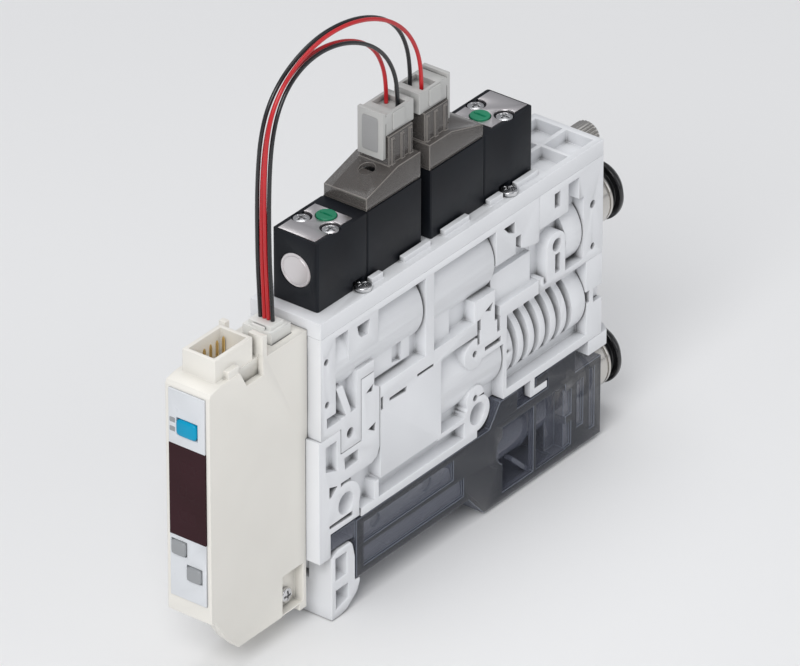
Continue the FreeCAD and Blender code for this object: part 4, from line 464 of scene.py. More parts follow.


# slot: colour, darker shade, roughness, texture depth, coat, painted shade in recesses, strength of the
# gloss
PLASTICS = {
    "white_moulding": ((0.81, 0.82, 0.84), (0.79, 0.80, 0.82), 0.42, 0.008, 0.0, 0.9),
    "cream_moulding": ((0.85, 0.825, 0.765), (0.835, 0.81, 0.75), 0.42, 0.008, 0.0, 0.7),
    "pale_panel": ((0.72, 0.74, 0.765), (0.70, 0.72, 0.745), 0.30, 0.006, 0.1),
    "blue_key": ((0.0, 0.33, 0.55), (0.0, 0.29, 0.50), 0.38, 0.008, 0.0, 0.0, 0.25),
    "grey_key": ((0.33, 0.34, 0.35), (0.30, 0.31, 0.32), 0.45, 0.008),
    "black_plastic": ((0.008, 0.010, 0.014), (0.007, 0.008, 0.011), 0.42, 0.012, 0.0, 0.0, 0.2),
    "green_plastic": ((0.010, 0.24, 0.12), (0.008, 0.19, 0.095), 0.36, 0.008),
    "grey_plug": ((0.50, 0.50, 0.485), (0.47, 0.47, 0.455), 0.44, 0.010, 0.0, 0.9),
    "white_plug": ((0.80, 0.80, 0.77), (0.77, 0.77, 0.74), 0.40, 0.008, 0.0, 0.8),
    "plug_plate": ((0.34, 0.34, 0.34), (0.31, 0.31, 0.31), 0.46, 0.010),
    "dark_window": ((0.036, 0.010, 0.014), (0.032, 0.009, 0.012), 0.24, 0.002, 0.0, 0.0, 0.12),
    "black_collar": ((0.010, 0.010, 0.011), (0.008, 0.008, 0.009), 0.16, 0.004, 0.3),
    "seal_rubber": ((0.02, 0.02, 0.021), (0.016, 0.016, 0.017), 0.62, 0.02),
    "porous_white": ((0.80, 0.80, 0.78), (0.70, 0.70, 0.68), 0.80, 0.06),
    "red_lead": ((0.55, 0.012, 0.018), (0.48, 0.010, 0.015), 0.30, 0.004, 0.15),
    "black_lead": ((0.013, 0.014, 0.016), (0.010, 0.011, 0.012), 0.28, 0.004, 0.15),
}
finishes = {slot: plastic(slot, *settings) for slot, settings in PLASTICS.items()}
print("plastics", len(finishes))

# %% [markdown]
# ## Metals
#
# The metals differ in colour and in the direction of their scratches. A turned piece is
# scratched around its axis and a sheet along its rolling direction, so the noise is squeezed
# along one axis and stretched along another.

# %% Metal finishes
SCRATCH_SIZE, SCRATCH_STRENGTH, CLOUD_SIZE = 0.35 * MM, 0.4, 3.0 * MM
# reach and dark colour of the painted shade in recesses
NOTCH_REACH, NOTCH_SHADE = 0.9 * MM, (0.03, 0.03, 0.03)


def metal(name, colour, shade, rough, stretch=(1.0, 1.0, 1.0), depth=0.002, worn=0.16, recess_shade=0.0):
    """Bare or plated metal with fine scratches that run along the axis of the smallest stretch.

    depth is the scratches' in millimetres, worn how far they change the roughness, and recess_shade how much
    painted shade darkens the colour deep in a recess.
    """
    finish = Finish(name)
    scratches = finish.grain(SCRATCH_SIZE, 3.0, stretch)
    cloud = finish.grain(CLOUD_SIZE, 2.0)
    metal_colour = finish.blend(cloud, colour, shade)
    # painted shade in recesses, such as the cross recesses of the screws
    if recess_shade:
        metal_colour = finish.with_painted_shade(metal_colour, NOTCH_SHADE, recess_shade, NOTCH_REACH)
    return finish.done(
        Base_Color=metal_colour,
        Metallic=1.0,
        Roughness=scratches * worn + (rough - worn / 2),
        Normal=finish.bump(scratches, depth * MM, SCRATCH_STRENGTH),
    )


EVEN, TURNED = (1.0, 1.0, 1.0), (3.0, 0.6, 0.6)
# slot: colour, second colour, roughness, stretch of the scratches, their depth, their wear, painted shade in
# recesses
METALS = {
    "satin_steel": ((0.78, 0.75, 0.755), (0.75, 0.72, 0.725), 0.36, (3.0, 0.3, 1.0), 0.0005, 0.06),
    "small_screw": ((0.72, 0.72, 0.73), (0.66, 0.66, 0.67), 0.26, EVEN, 0.0004, 0.06, 1.0),
    "gold_pin": ((0.86, 0.62, 0.27), (0.78, 0.55, 0.22), 0.24, (2.0, 2.0, 0.3)),
    "nickel": ((0.64, 0.62, 0.59), (0.56, 0.54, 0.51), 0.20, TURNED),
    "collet_steel": ((0.60, 0.60, 0.60), (0.52, 0.52, 0.52), 0.30, EVEN),
    "spool_metal": ((0.70, 0.70, 0.71), (0.64, 0.64, 0.65), 0.22, TURNED),
    "jet_brass": ((0.72, 0.55, 0.28), (0.64, 0.48, 0.23), 0.26, TURNED),
    "coil_copper": ((0.62, 0.30, 0.18), (0.52, 0.24, 0.14), 0.34, (6.0, 0.4, 0.4)),
    "plunger_iron": ((0.42, 0.41, 0.40), (0.36, 0.35, 0.34), 0.34, TURNED),
}
finishes.update({slot: metal(slot, *settings) for slot, settings in METALS.items()})
print("metals", len(METALS))

# %% [markdown]
# ## Clear plastics
#
# The filter case and the valve covers are smoky and can be seen through. Real refraction
# would be slow and noisy in such thin walls, and the look comes mostly from two other
# things: the wall hides part of what lies behind it, more so where it is seen edge on, and
# its skin is glossy. So the wall is partly see-through, and the share that it hides rises
# with the glancing angle. The outermost skin of the case is a thick, dark frame, and its faces
# further in look lighter, so the distance from the middle plane tells the two apart. Rounded
# edges gather light, so their faces get a lighter colour of their own: a painted highlight.

# %% Clear finishes
SKIN_FROM, SKIN_TO = 7.35 * MM, 7.6 * MM
SKIN_HIDES = 0.6
GLANCE_BLEND, GLANCE_FULL = 0.35, 0.9
HAZE_SIZE, HAZE_SWING = 2.5 * MM, 0.04
RIPPLE_SIZE, RIPPLE_DEEP, RIPPLE_STRENGTH = 1.4 * MM, 0.004 * MM, 0.2


def clear(name, colour, face_on, edge_on, rough, frame_colour=None):
    """Smoky plastic that hides face_on of what lies behind it, and edge_on at a glancing angle.

    Where a frame colour is given, the outermost skin takes it, and it closes SKIN_HIDES of the way
    from what is hidden face on to what is hidden edge on.
    """
    finish = Finish(name)
    glance = finish.node("ShaderNodeLayerWeight", {}, {"Blend": GLANCE_BLEND}, "Facing")
    haze = finish.grain(HAZE_SIZE, 2.0)
    ripple = finish.grain(RIPPLE_SIZE, 1.0)
    hidden = glance.above(0.0, GLANCE_FULL) * (edge_on - face_on) + face_on
    if frame_colour:
        side = finish.node("ShaderNodeSeparateXYZ", {}, {"Vector": finish.place}, "Y")
        skin = side.work("ABSOLUTE", side).above(SKIN_FROM, SKIN_TO)
        colour = finish.blend(skin, colour, frame_colour)
        hidden = hidden + (edge_on - hidden) * skin * SKIN_HIDES
    return finish.done(
        Base_Color=colour,
        Roughness=haze * HAZE_SWING + rough,
        IOR=1.5,
        Alpha=hidden,
        Normal=finish.bump(ripple, RIPPLE_DEEP, RIPPLE_STRENGTH),
    )


# name: colour, share hidden face on, share hidden edge on, roughness, colour of the frame
CLEARS = {
    "smoky_case": ((0.135, 0.145, 0.185), 0.48, 0.90, 0.06, (0.020, 0.023, 0.032)),
    "smoky_clear": ((0.125, 0.115, 0.108), 0.60, 0.94, 0.10),
    # the two edge finishes are lighter colours for the rounded edges: painted highlights
    "smoky_case_edge": ((0.15, 0.165, 0.20), 0.70, 0.95, 0.12),
    "smoky_clear_edge": ((0.28, 0.26, 0.24), 0.70, 0.95, 0.12),
}
finishes.update({name: clear(name, *settings) for name, settings in CLEARS.items()})
print("clear finishes", len(CLEARS))

# %% [markdown]
# ## Soft edges
#
# No moulded edge is sharp: a radius of a tenth of a millimetre or two catches the light and
# makes a solid look real. Each solid arrives as loose triangles, so a copy is welded first and
# its flat faces are joined. A bevel then rounds the edges. The solid itself stays as it is, and
# its copy is shown in its place.

# %% Arrays of a mesh


def numbers(items, name, width=1, kind=float):
    """One attribute of every item of a mesh collection as an array with width columns."""
    values = np.empty(len(items) * width, dtype=kind)
    items.foreach_get(name, values)
    return values.reshape(-1, width) if width > 1 else values


lever_points = numbers(nodes["lock_lever"].data.vertices, "co", 3)
print("corners of the lock lever", len(lever_points), "and apart", len(np.unique(lever_points, axis=0)))

# %% [markdown]
# Large openings that a solid lacks are cut from its copy as blocks. The exact boolean does that,
# because it also works where faces of the two lie in one plane. It wants the welded mesh, and it
# leaves new triangles, so the flat faces are joined last.

# %% Blocks to cut away


def block(lows, highs):
    """The eight corners of a block between two corners, and its six faces, all facing out."""
    choice = np.array([(i, j, k) for i in (0, 1) for j in (0, 1) for k in (0, 1)])
    corners = np.where(choice == 1, highs, lows)
    return corners, [(0, 1, 3, 2), (4, 6, 7, 5), (0, 4, 5, 1), (2, 3, 7, 6), (0, 2, 6, 4), (1, 5, 7, 3)]


def less(mesh, cuts):
    """The mesh less some blocks, each given by two corners in drawing millimetres."""
    tool = bpy.data.meshes.new("cuts")
    parts = [block(*cut) for cut in cuts]
    tool.from_pydata(shift(np.concatenate([corners for corners, _ in parts])).tolist(), [],
                     [tuple(corner + 8 * index for corner in face)
                      for index, (_, faces) in enumerate(parts) for face in faces])
    whole, cutter = (bpy.data.objects.new("cut_" + data.name, data) for data in (mesh, tool))
    for piece in (whole, cutter):
        scene.collection.objects.link(piece)
    cutting = whole.modifiers.new("cutting", "BOOLEAN")
    cutting.object, cutting.solver, cutting.operation = cutter, "EXACT", "DIFFERENCE"
    shown = whole.evaluated_get(bpy.context.evaluated_depsgraph_get())
    result = bpy.data.meshes.new_from_object(shown)
    for piece in (whole, cutter):
        bpy.data.objects.remove(piece)
    return result


print("a block has", len(block((0, 0, 0), (1, 1, 1))[1]), "faces")

# %% [markdown]
# Corners nearer than WELD become one, and two faces that turn by less than FLAT are taken as one
# flat face. bmesh does both without a selection.

# %% Welded copies
WELD = 0.002 * MM
FLAT = math.radians(0.4)


def welded(node, cuts=()):
    """A mesh with the node's corners merged, the cuts made and the triangles of flat faces joined.

    It comes with the angle that the surface turns through at each edge.
    """
    mesh = nodes[node].data.copy()
    work = bmesh.new()
    work.from_mesh(mesh)
    bmesh.ops.remove_doubles(work, verts=work.verts, dist=WELD)
    bmesh.ops.dissolve_degenerate(work, edges=work.edges, dist=WELD)
    if cuts:
        work.to_mesh(mesh)
        mesh = less(mesh, cuts)
        work.clear()
        work.from_mesh(mesh)
    bmesh.ops.dissolve_limit(work, angle_limit=FLAT, verts=work.verts, edges=work.edges)
    turns = [edge.calc_face_angle(0.0) for edge in work.edges]
    work.to_mesh(mesh)
    work.free()
    mesh.materials.clear()
    return mesh, np.array(turns)


lever_mesh, lever_turns = welded("lock_lever")
print("welded lock lever:", len(lever_mesh.vertices), "corners,", len(lever_mesh.polygons), "faces")

# %% [markdown]
# One width for all edges would fold the narrow ribs over themselves, so every sharp edge carries
# its own share of the width. The shares come in two steps. The first looks at the edges alone.
# The second looks at the result: where a face has folded over itself, one of its triangles looks away from
# the face, and the edges round that face get half the share, until nothing folds or ROUNDS rounds are done.

# %% Shares of the width
SHARP = math.radians(28.0)
ROOM = 0.4
SPECK = (0.03 * MM) ** 2
LOOKS_AWAY = 0.5


def first_shares(mesh, turns, width):
    """For each edge nought if it turns less than SHARP, else its room over width, at most one.

    The room of an edge is ROOM times the shortest edge that meets either of its ends.
    """
    ends = numbers(mesh.edges, "vertices", 2, int)
    points = numbers(mesh.vertices, "co", 3)
    lengths = np.linalg.norm(points[ends[:, 0]] - points[ends[:, 1]], axis=1)
    shortest = np.full(len(points), np.inf)
    np.minimum.at(shortest, ends[:, 0], lengths)
    np.minimum.at(shortest, ends[:, 1], lengths)
    room = ROOM * np.minimum(shortest[ends[:, 0]], shortest[ends[:, 1]])
    return np.where(turns > SHARP, np.minimum(room / width, 1.0), 0.0)


def folded_faces(piece):
    """Home faces whose bevelled part has a triangle, larger than SPECK, that looks away from its face.

    It looks away where the cosine between the two normals is under LOOKS_AWAY.
    """
    shown = piece.evaluated_get(bpy.context.evaluated_depsgraph_get())
    mesh = shown.to_mesh()
    mesh.calc_loop_triangles()
    faces = numbers(mesh.loop_triangles, "polygon_index", 1, int)
    own = numbers(mesh.loop_triangles, "normal", 3)
    whole = numbers(mesh.polygons, "normal", 3)[faces]
    large = numbers(mesh.loop_triangles, "area") > SPECK
    homes = numbers(mesh.attributes["home"].data, "value", 1, int)
    folded = homes[faces[large & ((own * whole).sum(axis=1) < LOOKS_AWAY)]]
    shown.to_mesh_clear()
    return np.unique(folded)


lever_shares = first_shares(lever_mesh, lever_turns, 0.15 * MM)
print("sharp edges of the lock lever", (lever_shares > 0).sum(),
      "and with the whole width", (lever_shares == 1).sum())
bpy.data.meshes.remove(lever_mesh)

# %% [markdown]
# The record says which finish each solid wears and which moving body carries it. The deep end of
# the filter case has two wide windows in each side, with a rib between them.

# %% Bodies, slots and windows
slot_of = {part["node"]: part["material_slot"] for part in frame["record"]["subparts"]}
body_of = {node: body for body, members in frame["record"]["behaviour"]["bodies"].items()
           for node in members}
WINDOW_SPANS = ((52.6, 61.7), (62.6, 71.3))
WINDOW_LOW, WINDOW_TOP, WINDOW_DEEP = -59.6, -46.1, 2.6
CUT_CLEAR = 1


def window(start, end, side):
    """Two corners of the block that cuts a window into one side, from clear outside it."""
    near, far = sorted((side * (HALF_WIDTH + CUT_CLEAR), side * (HALF_WIDTH - WINDOW_DEEP)))
    return (start, near, WINDOW_LOW), (end, far, WINDOW_TOP)


CUTS = {"filter_case": [window(*reach, side) for reach in WINDOW_SPANS for side in (-1, 1)]}

# %% [markdown]
# The bevel takes its width from a weight on each edge. Each face keeps its number as its home
# through the bevel, so a folded triangle leads back to the face that it came from.

# %% Rounded edges
ROUNDS = 8
BEVEL_STEPS = 2


def shell(node, mesh):
    """An object with the welded mesh and its finishes. Each face keeps its number as its home."""
    slot = slot_of[node]
    mesh.attributes.new("bevel_weight_edge", "FLOAT", "EDGE")
    home = mesh.attributes.new("home", "INT", "FACE")
    home.data.foreach_set("value", np.arange(len(mesh.polygons)))
    mesh.materials.append(finishes[slot])
    mesh.shade_smooth()
    # where the slot has a lighter edge finish, the rounded faces of the bevel take it as a painted highlight
    if slot + "_edge" in finishes:
        mesh.materials.append(finishes[slot + "_edge"])
    piece = bpy.data.objects.new(node + "_shell", mesh)
    scene.collection.objects.link(piece)
    return piece


def softened(node, width):
    """Replace a node by its welded copy with edges rounded by up to width millimetres.

    The answer is the number of faces that still fold after the last round.
    """
    mesh, turns = welded(node, CUTS.get(node, ()))
    shares = first_shares(mesh, turns, width * MM)
    piece = shell(node, mesh)
    bevel = piece.modifiers.new("soft_edges", "BEVEL")
    bevel.width = width * MM
    bevel.segments = BEVEL_STEPS
    bevel.limit_method = "WEIGHT"
    bevel.use_clamp_overlap = False
    bevel.harden_normals = True
    # the rounded faces take the last finish: the painted highlight of the edge finish where the slot has one
    bevel.material = len(mesh.materials) - 1
    corner_edges = numbers(mesh.loops, "edge_index", 1, int)
    corner_faces = np.repeat(np.arange(len(mesh.polygons)), numbers(mesh.polygons, "loop_total", 1, int))
    for _ in range(ROUNDS):
        mesh.attributes["bevel_weight_edge"].data.foreach_set("value", shares.astype(np.float32))
        mesh.update()
        folded = folded_faces(piece)
        if not len(folded):
            break
        shares[np.unique(corner_edges[np.isin(corner_faces, folded)])] *= 0.5
    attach(piece, body_of[node])
    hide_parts(node)
    return len(folded)


print("a bevel has", BEVEL_STEPS, "steps and at most", ROUNDS, "rounds against folds")

# %% Widths of the edges
# node: width of its rounded edges in millimetres
SOFT_EDGES = {
    "valve_base": 0.15, "ejector_body": 0.12, "port_block": 0.15, "switch_adapter": 0.15,
    "retainer_plate": 0.15, "lock_lever": 0.15, "filter_case": 0.16,
    "supply_valve_body": 0.12, "release_valve_body": 0.12,
    "supply_coil_case": 0.12, "release_coil_case": 0.12,
    "supply_valve_cover": 0.13, "release_valve_cover": 0.13,
    "supply_plug": 0.12, "release_plug": 0.12, "switch_housing": 0.15, "switch_front_panel": 0.08,
    "switch_plug": 0.1, "supply_valve_plate": 0.05, "release_valve_plate": 0.05,
    "needle_lock_nut": 0.1, "silencer_cap": 0.1,
}
for node, width in SOFT_EDGES.items():
    print(node, "rounded, faces that still fold:", softened(node, width))

# %% [markdown]
# ## Pieces too fine for the solids
#
# Threads, knurls, screw heads, keys and collars are finer than the solids show. Each of them is
# round an axis, or nearly so, and could be spun from a drawn profile. A grid of points does more:
# its rows run along the axis and its columns run round it, so a thread is a radius that rises
# and falls with both, and a key is a round piece whose radius follows a soft rectangle. One
# function bends the corners of a profile, because no real edge is sharp, and one puts any such
# grid in its place.

# %% Bent corners
LONGEST_CUT = 0.45
ON_AXIS = 1e-9


def bent(outline, radius, steps=4):
    """A closed outline of points (along, radius) whose corners are bent, but for those on the axis.

    A corner is left at radius before it and met again as far after it, or at LONGEST_CUT of its
    shorter run. Between them the point is (1 - t)² before + 2 t (1 - t) corner + t² after.
    """
    corner = np.asarray(outline, float)
    back = np.roll(corner, 1, axis=0) - corner
    ahead = np.roll(corner, -1, axis=0) - corner
    back_long = np.linalg.norm(back, axis=1, keepdims=True)
    ahead_long = np.linalg.norm(ahead, axis=1, keepdims=True)
    cut = np.minimum(radius, LONGEST_CUT * np.minimum(back_long, ahead_long))
    cut[corner[:, 1] < ON_AXIS] = 0.0
    before = (corner + back / back_long * cut)[:, None]
    after = (corner + ahead / ahead_long * cut)[:, None]
    t = np.linspace(0.0, 1.0, steps + 1)[None, :, None]
    return ((1 - t) ** 2 * before + 2 * t * (1 - t) * corner[:, None] + t ** 2 * after).reshape(-1, 2)


SQUARE = [(0.0, 1.0), (1.0, 1.0), (1.0, 2.0), (0.0, 2.0)]
print("a square with bent corners has", len(bent(SQUARE, 0.1)), "points")

# %% [markdown]
# A grid stands in its place by three directions: one along its axis, and two across it.

# %% Grids round an axis
# world directions of: along the axis, across it, and across both
ALONG_X = np.array([(1.0, 0.0, 0.0), (0.0, 1.0, 0.0), (0.0, 0.0, 1.0)])
ALONG_Z = np.array([(0.0, 0.0, 1.0), (1.0, 0.0, 0.0), (0.0, 1.0, 0.0)])
AGAINST_X = np.array([(-1.0, 0.0, 0.0), (0.0, 1.0, 0.0), (0.0, 0.0, 1.0)])
AGAINST_Y = np.array([(0.0, -1.0, 0.0), (1.0, 0.0, 0.0), (0.0, 0.0, 1.0)])


def ring_angles(columns):
    """Angles of the columns round an axis, as one row."""
    return (np.arange(columns) * 2 * math.pi / columns)[None, :]


def round_grid(along, radius, centre, axes=ALONG_X):
    """Points (along, radius cos angle, radius sin angle) on the three axes from a centre.

    along and radius have one row for each place along the axis and one column for each angle,
    or a single row or column that holds for all.
    """
    columns = max(np.shape(along)[1], np.shape(radius)[1])
    angle = ring_angles(columns)
    local = np.stack(np.broadcast_arrays(along, radius * np.cos(angle), radius * np.sin(angle)), axis=-1)
    return local @ axes + np.asarray(centre, float)


def spun(outline, centre, axes=ALONG_X, columns=96, radius=0.12, steps=4):
    """The round grid of an outline with bent corners."""
    profile = bent(outline, radius, steps)
    return round_grid(profile[:, :1], profile[:, 1:] * np.ones((1, columns)), centre, axes)


print("rows, columns and axes of a spun square", spun(SQUARE, (0.0, 0.0, 0.0)).shape)

# %% [markdown]
# One function then joins any number of grids to a piece, closes its seams and poles by merging equal points,
# turns all faces outwards, hangs it on the body that carries it and hides the solids that it stands for.

# %% Pieces from grids
MERGE = 0.0005 * MM
NORMAL_WEIGHT = 80


def grid_faces(rows, columns, closed):
    """Faces between four neighbours. Columns close on the first, and rows too where closed is true."""
    row = np.arange(rows if closed else rows - 1)[:, None]
    column = np.arange(columns)[None, :]
    below, beside = (row + 1) % rows, (column + 1) % columns
    corners = [row * columns + column, row * columns + beside,
               below * columns + beside, below * columns + column]
    return np.stack(corners, axis=-1).reshape(-1, 4)


def made(name, grids, body, finish_slot, replaced=(), closed=False):
    """One piece from several grids. Unless closed, each end row lies on the axis and becomes one point."""
    points, faces, count = [], [], 0
    for grid in grids:
        rows, columns = grid.shape[:2]
        faces.append(grid_faces(rows, columns, closed) + count)
        points.append(grid.reshape(-1, 3))
        count += rows * columns
    mesh = bpy.data.meshes.new(name)
    mesh.from_pydata(shift(np.concatenate(points)).tolist(), [], np.concatenate(faces).tolist())
    work = bmesh.new()
    work.from_mesh(mesh)
    bmesh.ops.remove_doubles(work, verts=work.verts, dist=MERGE)
    bmesh.ops.recalc_face_normals(work, faces=work.faces)
    work.to_mesh(mesh)
    work.free()
    mesh.shade_smooth()
    mesh.update()
    mesh.materials.append(finishes[finish_slot])
    piece = bpy.data.objects.new(name, mesh)
    scene.collection.objects.link(piece)
    even = piece.modifiers.new("even_normals", "WEIGHTED_NORMAL")
    even.weight = NORMAL_WEIGHT
    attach(piece, body)
    if replaced:
        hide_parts(*replaced)
    print(name, len(mesh.polygons), "faces")
    return piece


print("faces of a ring of 4 rows and 6 columns", len(grid_faces(4, 6, closed=True)))

# %% [markdown]
# ## Fittings and their collars
#
# A push-in fitting is turned from brass and nickel plated, and a glossy black collar slides in
# its mouth. Both are rings, so their outlines close on themselves. The filter unit carries the
# lower fitting with it when it is drawn off.

# %% Fittings
SUPPLY_DROP, VACUUM_DROP = -16.6, -50.9
FITTING_OUTLINE = [
    (-12.0, 2.1), (-12.0, 4.9), (0.0, 4.9), (0.0, 5.45), (0.3, 5.75), (4.8, 5.75), (4.8, 5.4), (5.3, 5.4),
    (5.3, 5.75), (5.9, 5.75), (6.2, 5.45), (6.2, 4.86), (4.6, 4.86), (4.6, 3.96), (-1.6, 3.96),
    (-1.6, 4.15), (-5.0, 4.15), (-5.0, 3.1), (-9.6, 3.1), (-9.6, 2.1),
]
COLLAR_OUTLINE = [
    (-0.35, 3.1), (-0.35, 3.9), (5.9, 3.9), (5.9, 4.8), (7.7, 4.8), (7.7, 5.9), (7.9, 6.1), (8.6, 6.1),
    (8.9, 5.8), (8.9, 5.2), (9.7, 5.2), (10.2, 4.7), (10.2, 3.6), (9.5, 3.1),
]
for side, drop, body, collar_body in (("supply", SUPPLY_DROP, "body", "supply_collar"),
                                      ("vacuum", VACUUM_DROP, "filter_unit", "vacuum_collar")):
    centre = (BODY_LONG, 0.0, drop)
    made(f"{side}_fitting", [spun(FITTING_OUTLINE, centre)], body, "nickel",
         [f"{side}_fitting_body"], closed=True)
    made(f"{side}_collar_turned", [spun(COLLAR_OUTLINE, centre, radius=0.2)], collar_body, "black_collar",
         [f"{side}_release_collar"], closed=True)

# %% [markdown]
# ## The needle valve
#
# The needle is a fine-threaded stem with a knurled knob on its end. The thread's radius is a
# wave that moves on by one pitch in each turn. The knurl is a row of straight teeth, so its
# radius depends on the angle alone, and it fades out at the two rims.

# %% Thread
NEEDLE_CENTRE = (BODY_LONG, 2.2, -6.4)
THREAD_RADIUS, THREAD_DEEP, THREAD_PITCH = 1.5, 0.22, 0.5
THREAD_FROM, THREAD_TO, RUN_OUT = -5.6, 6.6, 0.4
THREAD_ROWS, THREAD_COLUMNS = 221, 48


def wave(turns):
    """A smooth wave from nought to one and back in each turn."""
    return 0.5 - 0.5 * np.cos(2 * math.pi * turns)


thread_rows = np.linspace(THREAD_FROM, THREAD_TO, THREAD_ROWS)[:, None]
thread_turns = thread_rows / THREAD_PITCH - ring_angles(THREAD_COLUMNS) / (2 * math.pi)
thread_share = np.clip(np.minimum(thread_rows - THREAD_FROM, THREAD_TO - thread_rows) / RUN_OUT, 0.0, 1.0)
thread = THREAD_RADIUS - THREAD_DEEP * wave(thread_turns) * thread_share
point_rows = np.array([(-9.0, 0.0), (-7.2, 0.7), (-5.8, 0.7), (-5.75, 1.4)])
end_rows = np.array([(6.68, 1.4), (6.7, 0.0)])
whole_turn = np.ones((1, THREAD_COLUMNS))
stem_along = np.concatenate([point_rows[:, :1], thread_rows, end_rows[:, :1]])
stem_radius = np.concatenate([point_rows[:, 1:] * whole_turn, thread, end_rows[:, 1:] * whole_turn])
made("threaded_needle", [round_grid(stem_along, stem_radius, NEEDLE_CENTRE)], "needle", "nickel",
     ["needle_stem"])

# %% Knurl
KNURL_TEETH, KNURL_DEEP, TOOTH_COLUMNS = 26, 0.3, 10
KNOB_RADIUS, RIM_RADIUS, KNURL_FADE = 2.9, 2.5, 0.4
KNOB_OUTLINE = [(6.75, 0.0), (6.75, 1.56), (4.1, 1.56), (4.1, RIM_RADIUS), (4.4, KNOB_RADIUS),
                (8.5, KNOB_RADIUS), (8.9, RIM_RADIUS), (8.9, 0.0)]

knob_along, knob_radius = np.hsplit(bent(KNOB_OUTLINE, 0.1), 2)
teeth = wave(ring_angles(KNURL_TEETH * TOOTH_COLUMNS) * KNURL_TEETH / (2 * math.pi))
on_rim = np.clip((knob_radius - RIM_RADIUS) / KNURL_FADE, 0.0, 1.0)
made("knurled_knob", [round_grid(knob_along, knob_radius - KNURL_DEEP * on_rim * teeth, NEEDLE_CENTRE)],
     "knob", "nickel", ["needle_knob"])

# %% [markdown]
# ## Screws with cross recesses
#
# Nine like screws hold the valves and their plates, and a slightly smaller one is in the chin of
# the switch. Their heads are low domes with a cross recess. The recess could be cut with
# booleans, but a height that falls where a point is near one of the two arms gives it with its
# sloping walls, and all heads are the same grid at other places.

# %% Screw heads
HEAD_RADIUS, HEAD_TALL, HEAD_DOME, SHANK_RADIUS, SHANK_LONG = 1.6, 1.1, 0.3, 0.8, 2.9
ARM_HALF, ARM_REACH, ARM_WALL, ARM_END = 0.21, 1.0, 0.09, 0.12
RECESS_DEEP, RECESS_RISE = 0.62, 0.35
FLAT_TO_RIM = 0.12


def within(distance, limit, slope):
    """One where distance is below limit and nought above it, with a slope of that width between."""
    return np.clip((limit - distance) / slope + 0.5, 0.0, 1.0)


def disc_grid(top, reach, rim, centre, axes):
    """A disc: heights of its top, one row for each reach from the axis, then its rim's rows."""
    whole = np.ones((1, top.shape[1]))
    along = np.concatenate([top, rim[:, :1] * whole])
    return round_grid(along, np.concatenate([reach * whole, rim[:, 1:] * whole]), centre, axes)


def screw(centre, axes=ALONG_Z, radius=HEAD_RADIUS, columns=96, rows=40):
    """A pan head on a shank, with the seat of the head at the centre.

    Top height = head height - dome (share of the radius)², less the recess: its depth times one
    minus its rise times the share of its reach, where the nearer arm is within its half width.
    """
    angle = ring_angles(columns)
    reach = np.linspace(0.0, radius - FLAT_TO_RIM, rows)[:, None]
    across = np.minimum(abs(reach * np.cos(angle)), abs(reach * np.sin(angle)))
    top = HEAD_TALL - HEAD_DOME * (reach / radius) ** 2
    top = top - (RECESS_DEEP * within(across, ARM_HALF, ARM_WALL) * within(reach, ARM_REACH, ARM_END)
                 * (1 - RECESS_RISE * reach / ARM_REACH))
    rim = np.array([(HEAD_TALL - 0.31, radius - 0.06), (HEAD_TALL - 0.4, radius - 0.01), (0.5, radius),
                    (0.06, radius), (0.0, radius - 0.05), (0.0, SHANK_RADIUS), (-SHANK_LONG, SHANK_RADIUS),
                    (-SHANK_LONG, 0.0)])
    return disc_grid(top, reach, rim, centre, axes)


FEET = [(14.2, -6.0), (56.2, -6.0), (14.2, 6.0), (35.2, 6.0), (56.2, 6.0)]
PLATE_SCREWS = [(8.7, -3.2), (8.7, 3.2), (58.5, -3.2), (58.5, 3.2)]
PLATE_SEAT = 12.7
SWITCH_SCREW_AT, SWITCH_SCREW_RADIUS = (-4.6, -2.85, -54.4), 1.45
heads = [screw((x, y, 0.0)) for x, y in FEET] + [screw((x, y, PLATE_SEAT)) for x, y in PLATE_SCREWS]
made("cross_head_screws", heads, "body", "small_screw", ["valve_screws"])
made("switch_cross_screw", [screw(SWITCH_SCREW_AT, AGAINST_Y, SWITCH_SCREW_RADIUS)], "body", "small_screw",
     ["switch_screw"])

# %% [markdown]
# ## Keys, lights and pins
#
# The switch has a blue key, two grey keys and two tiny lights beside the blue one. A moulded key
# is a soft rectangle with a faintly domed face. A soft rectangle is the curve on which
# |across / half width| to a power, plus |up / half height| to the same power, is one: a power
# of two is an ellipse, and five or more is a rectangle with round corners.

# %% Soft rectangles


def soft_rectangle(half_wide, half_tall, power, columns=160):
    """Distance from the middle to a soft rectangle at each angle."""
    angle = ring_angles(columns)
    sides = abs(np.cos(angle) / half_wide) ** power + abs(np.sin(angle) / half_tall) ** power
    return sides ** (-1.0 / power)


def pressed(half_wide, half_tall, profile, centre, axes, power=5.0, bend=0.1, columns=160):
    """A piece whose profile gives (height, share of the soft rectangle) from its face to its back."""
    rows = bent(profile, bend)
    return round_grid(rows[:, :1] * np.ones((1, columns)),
                      rows[:, 1:] * soft_rectangle(half_wide, half_tall, power, columns), centre, axes)


print("corner of a soft square of half width 1:", soft_rectangle(1.0, 1.0, 5.0, 8)[0, 1].round(3))

# %% Keys
PANEL_FACE, KEY_BACK = -27.5, -26.5
KEY_FACE = 0.52
KEY_PROFILE = [(KEY_FACE + 0.03, 0.0), (KEY_FACE + 0.02, 0.45), (KEY_FACE - 0.06, 0.86), (0.2, 1.0),
               (PANEL_FACE - KEY_BACK, 1.0), (PANEL_FACE - KEY_BACK, 0.0)]
# key: its middle across and down, half its width and height, its finish
KEYS = {
    "set": (-0.1, -10.7, 2.2, 1.6, "blue_key"),
    "up": (1.95, -35.3, 1.6, 1.45, "grey_key"),
    "down": (-1.4, -39.7, 1.6, 1.45, "grey_key"),
}
for name, (y, z, half_wide, half_tall, finish_slot) in KEYS.items():
    key = pressed(half_wide, half_tall, KEY_PROFILE, (PANEL_FACE, y, z), AGAINST_X)
    made(f"{name}_key_cap", [key], f"{name}_key", finish_slot, [f"{name}_button"])

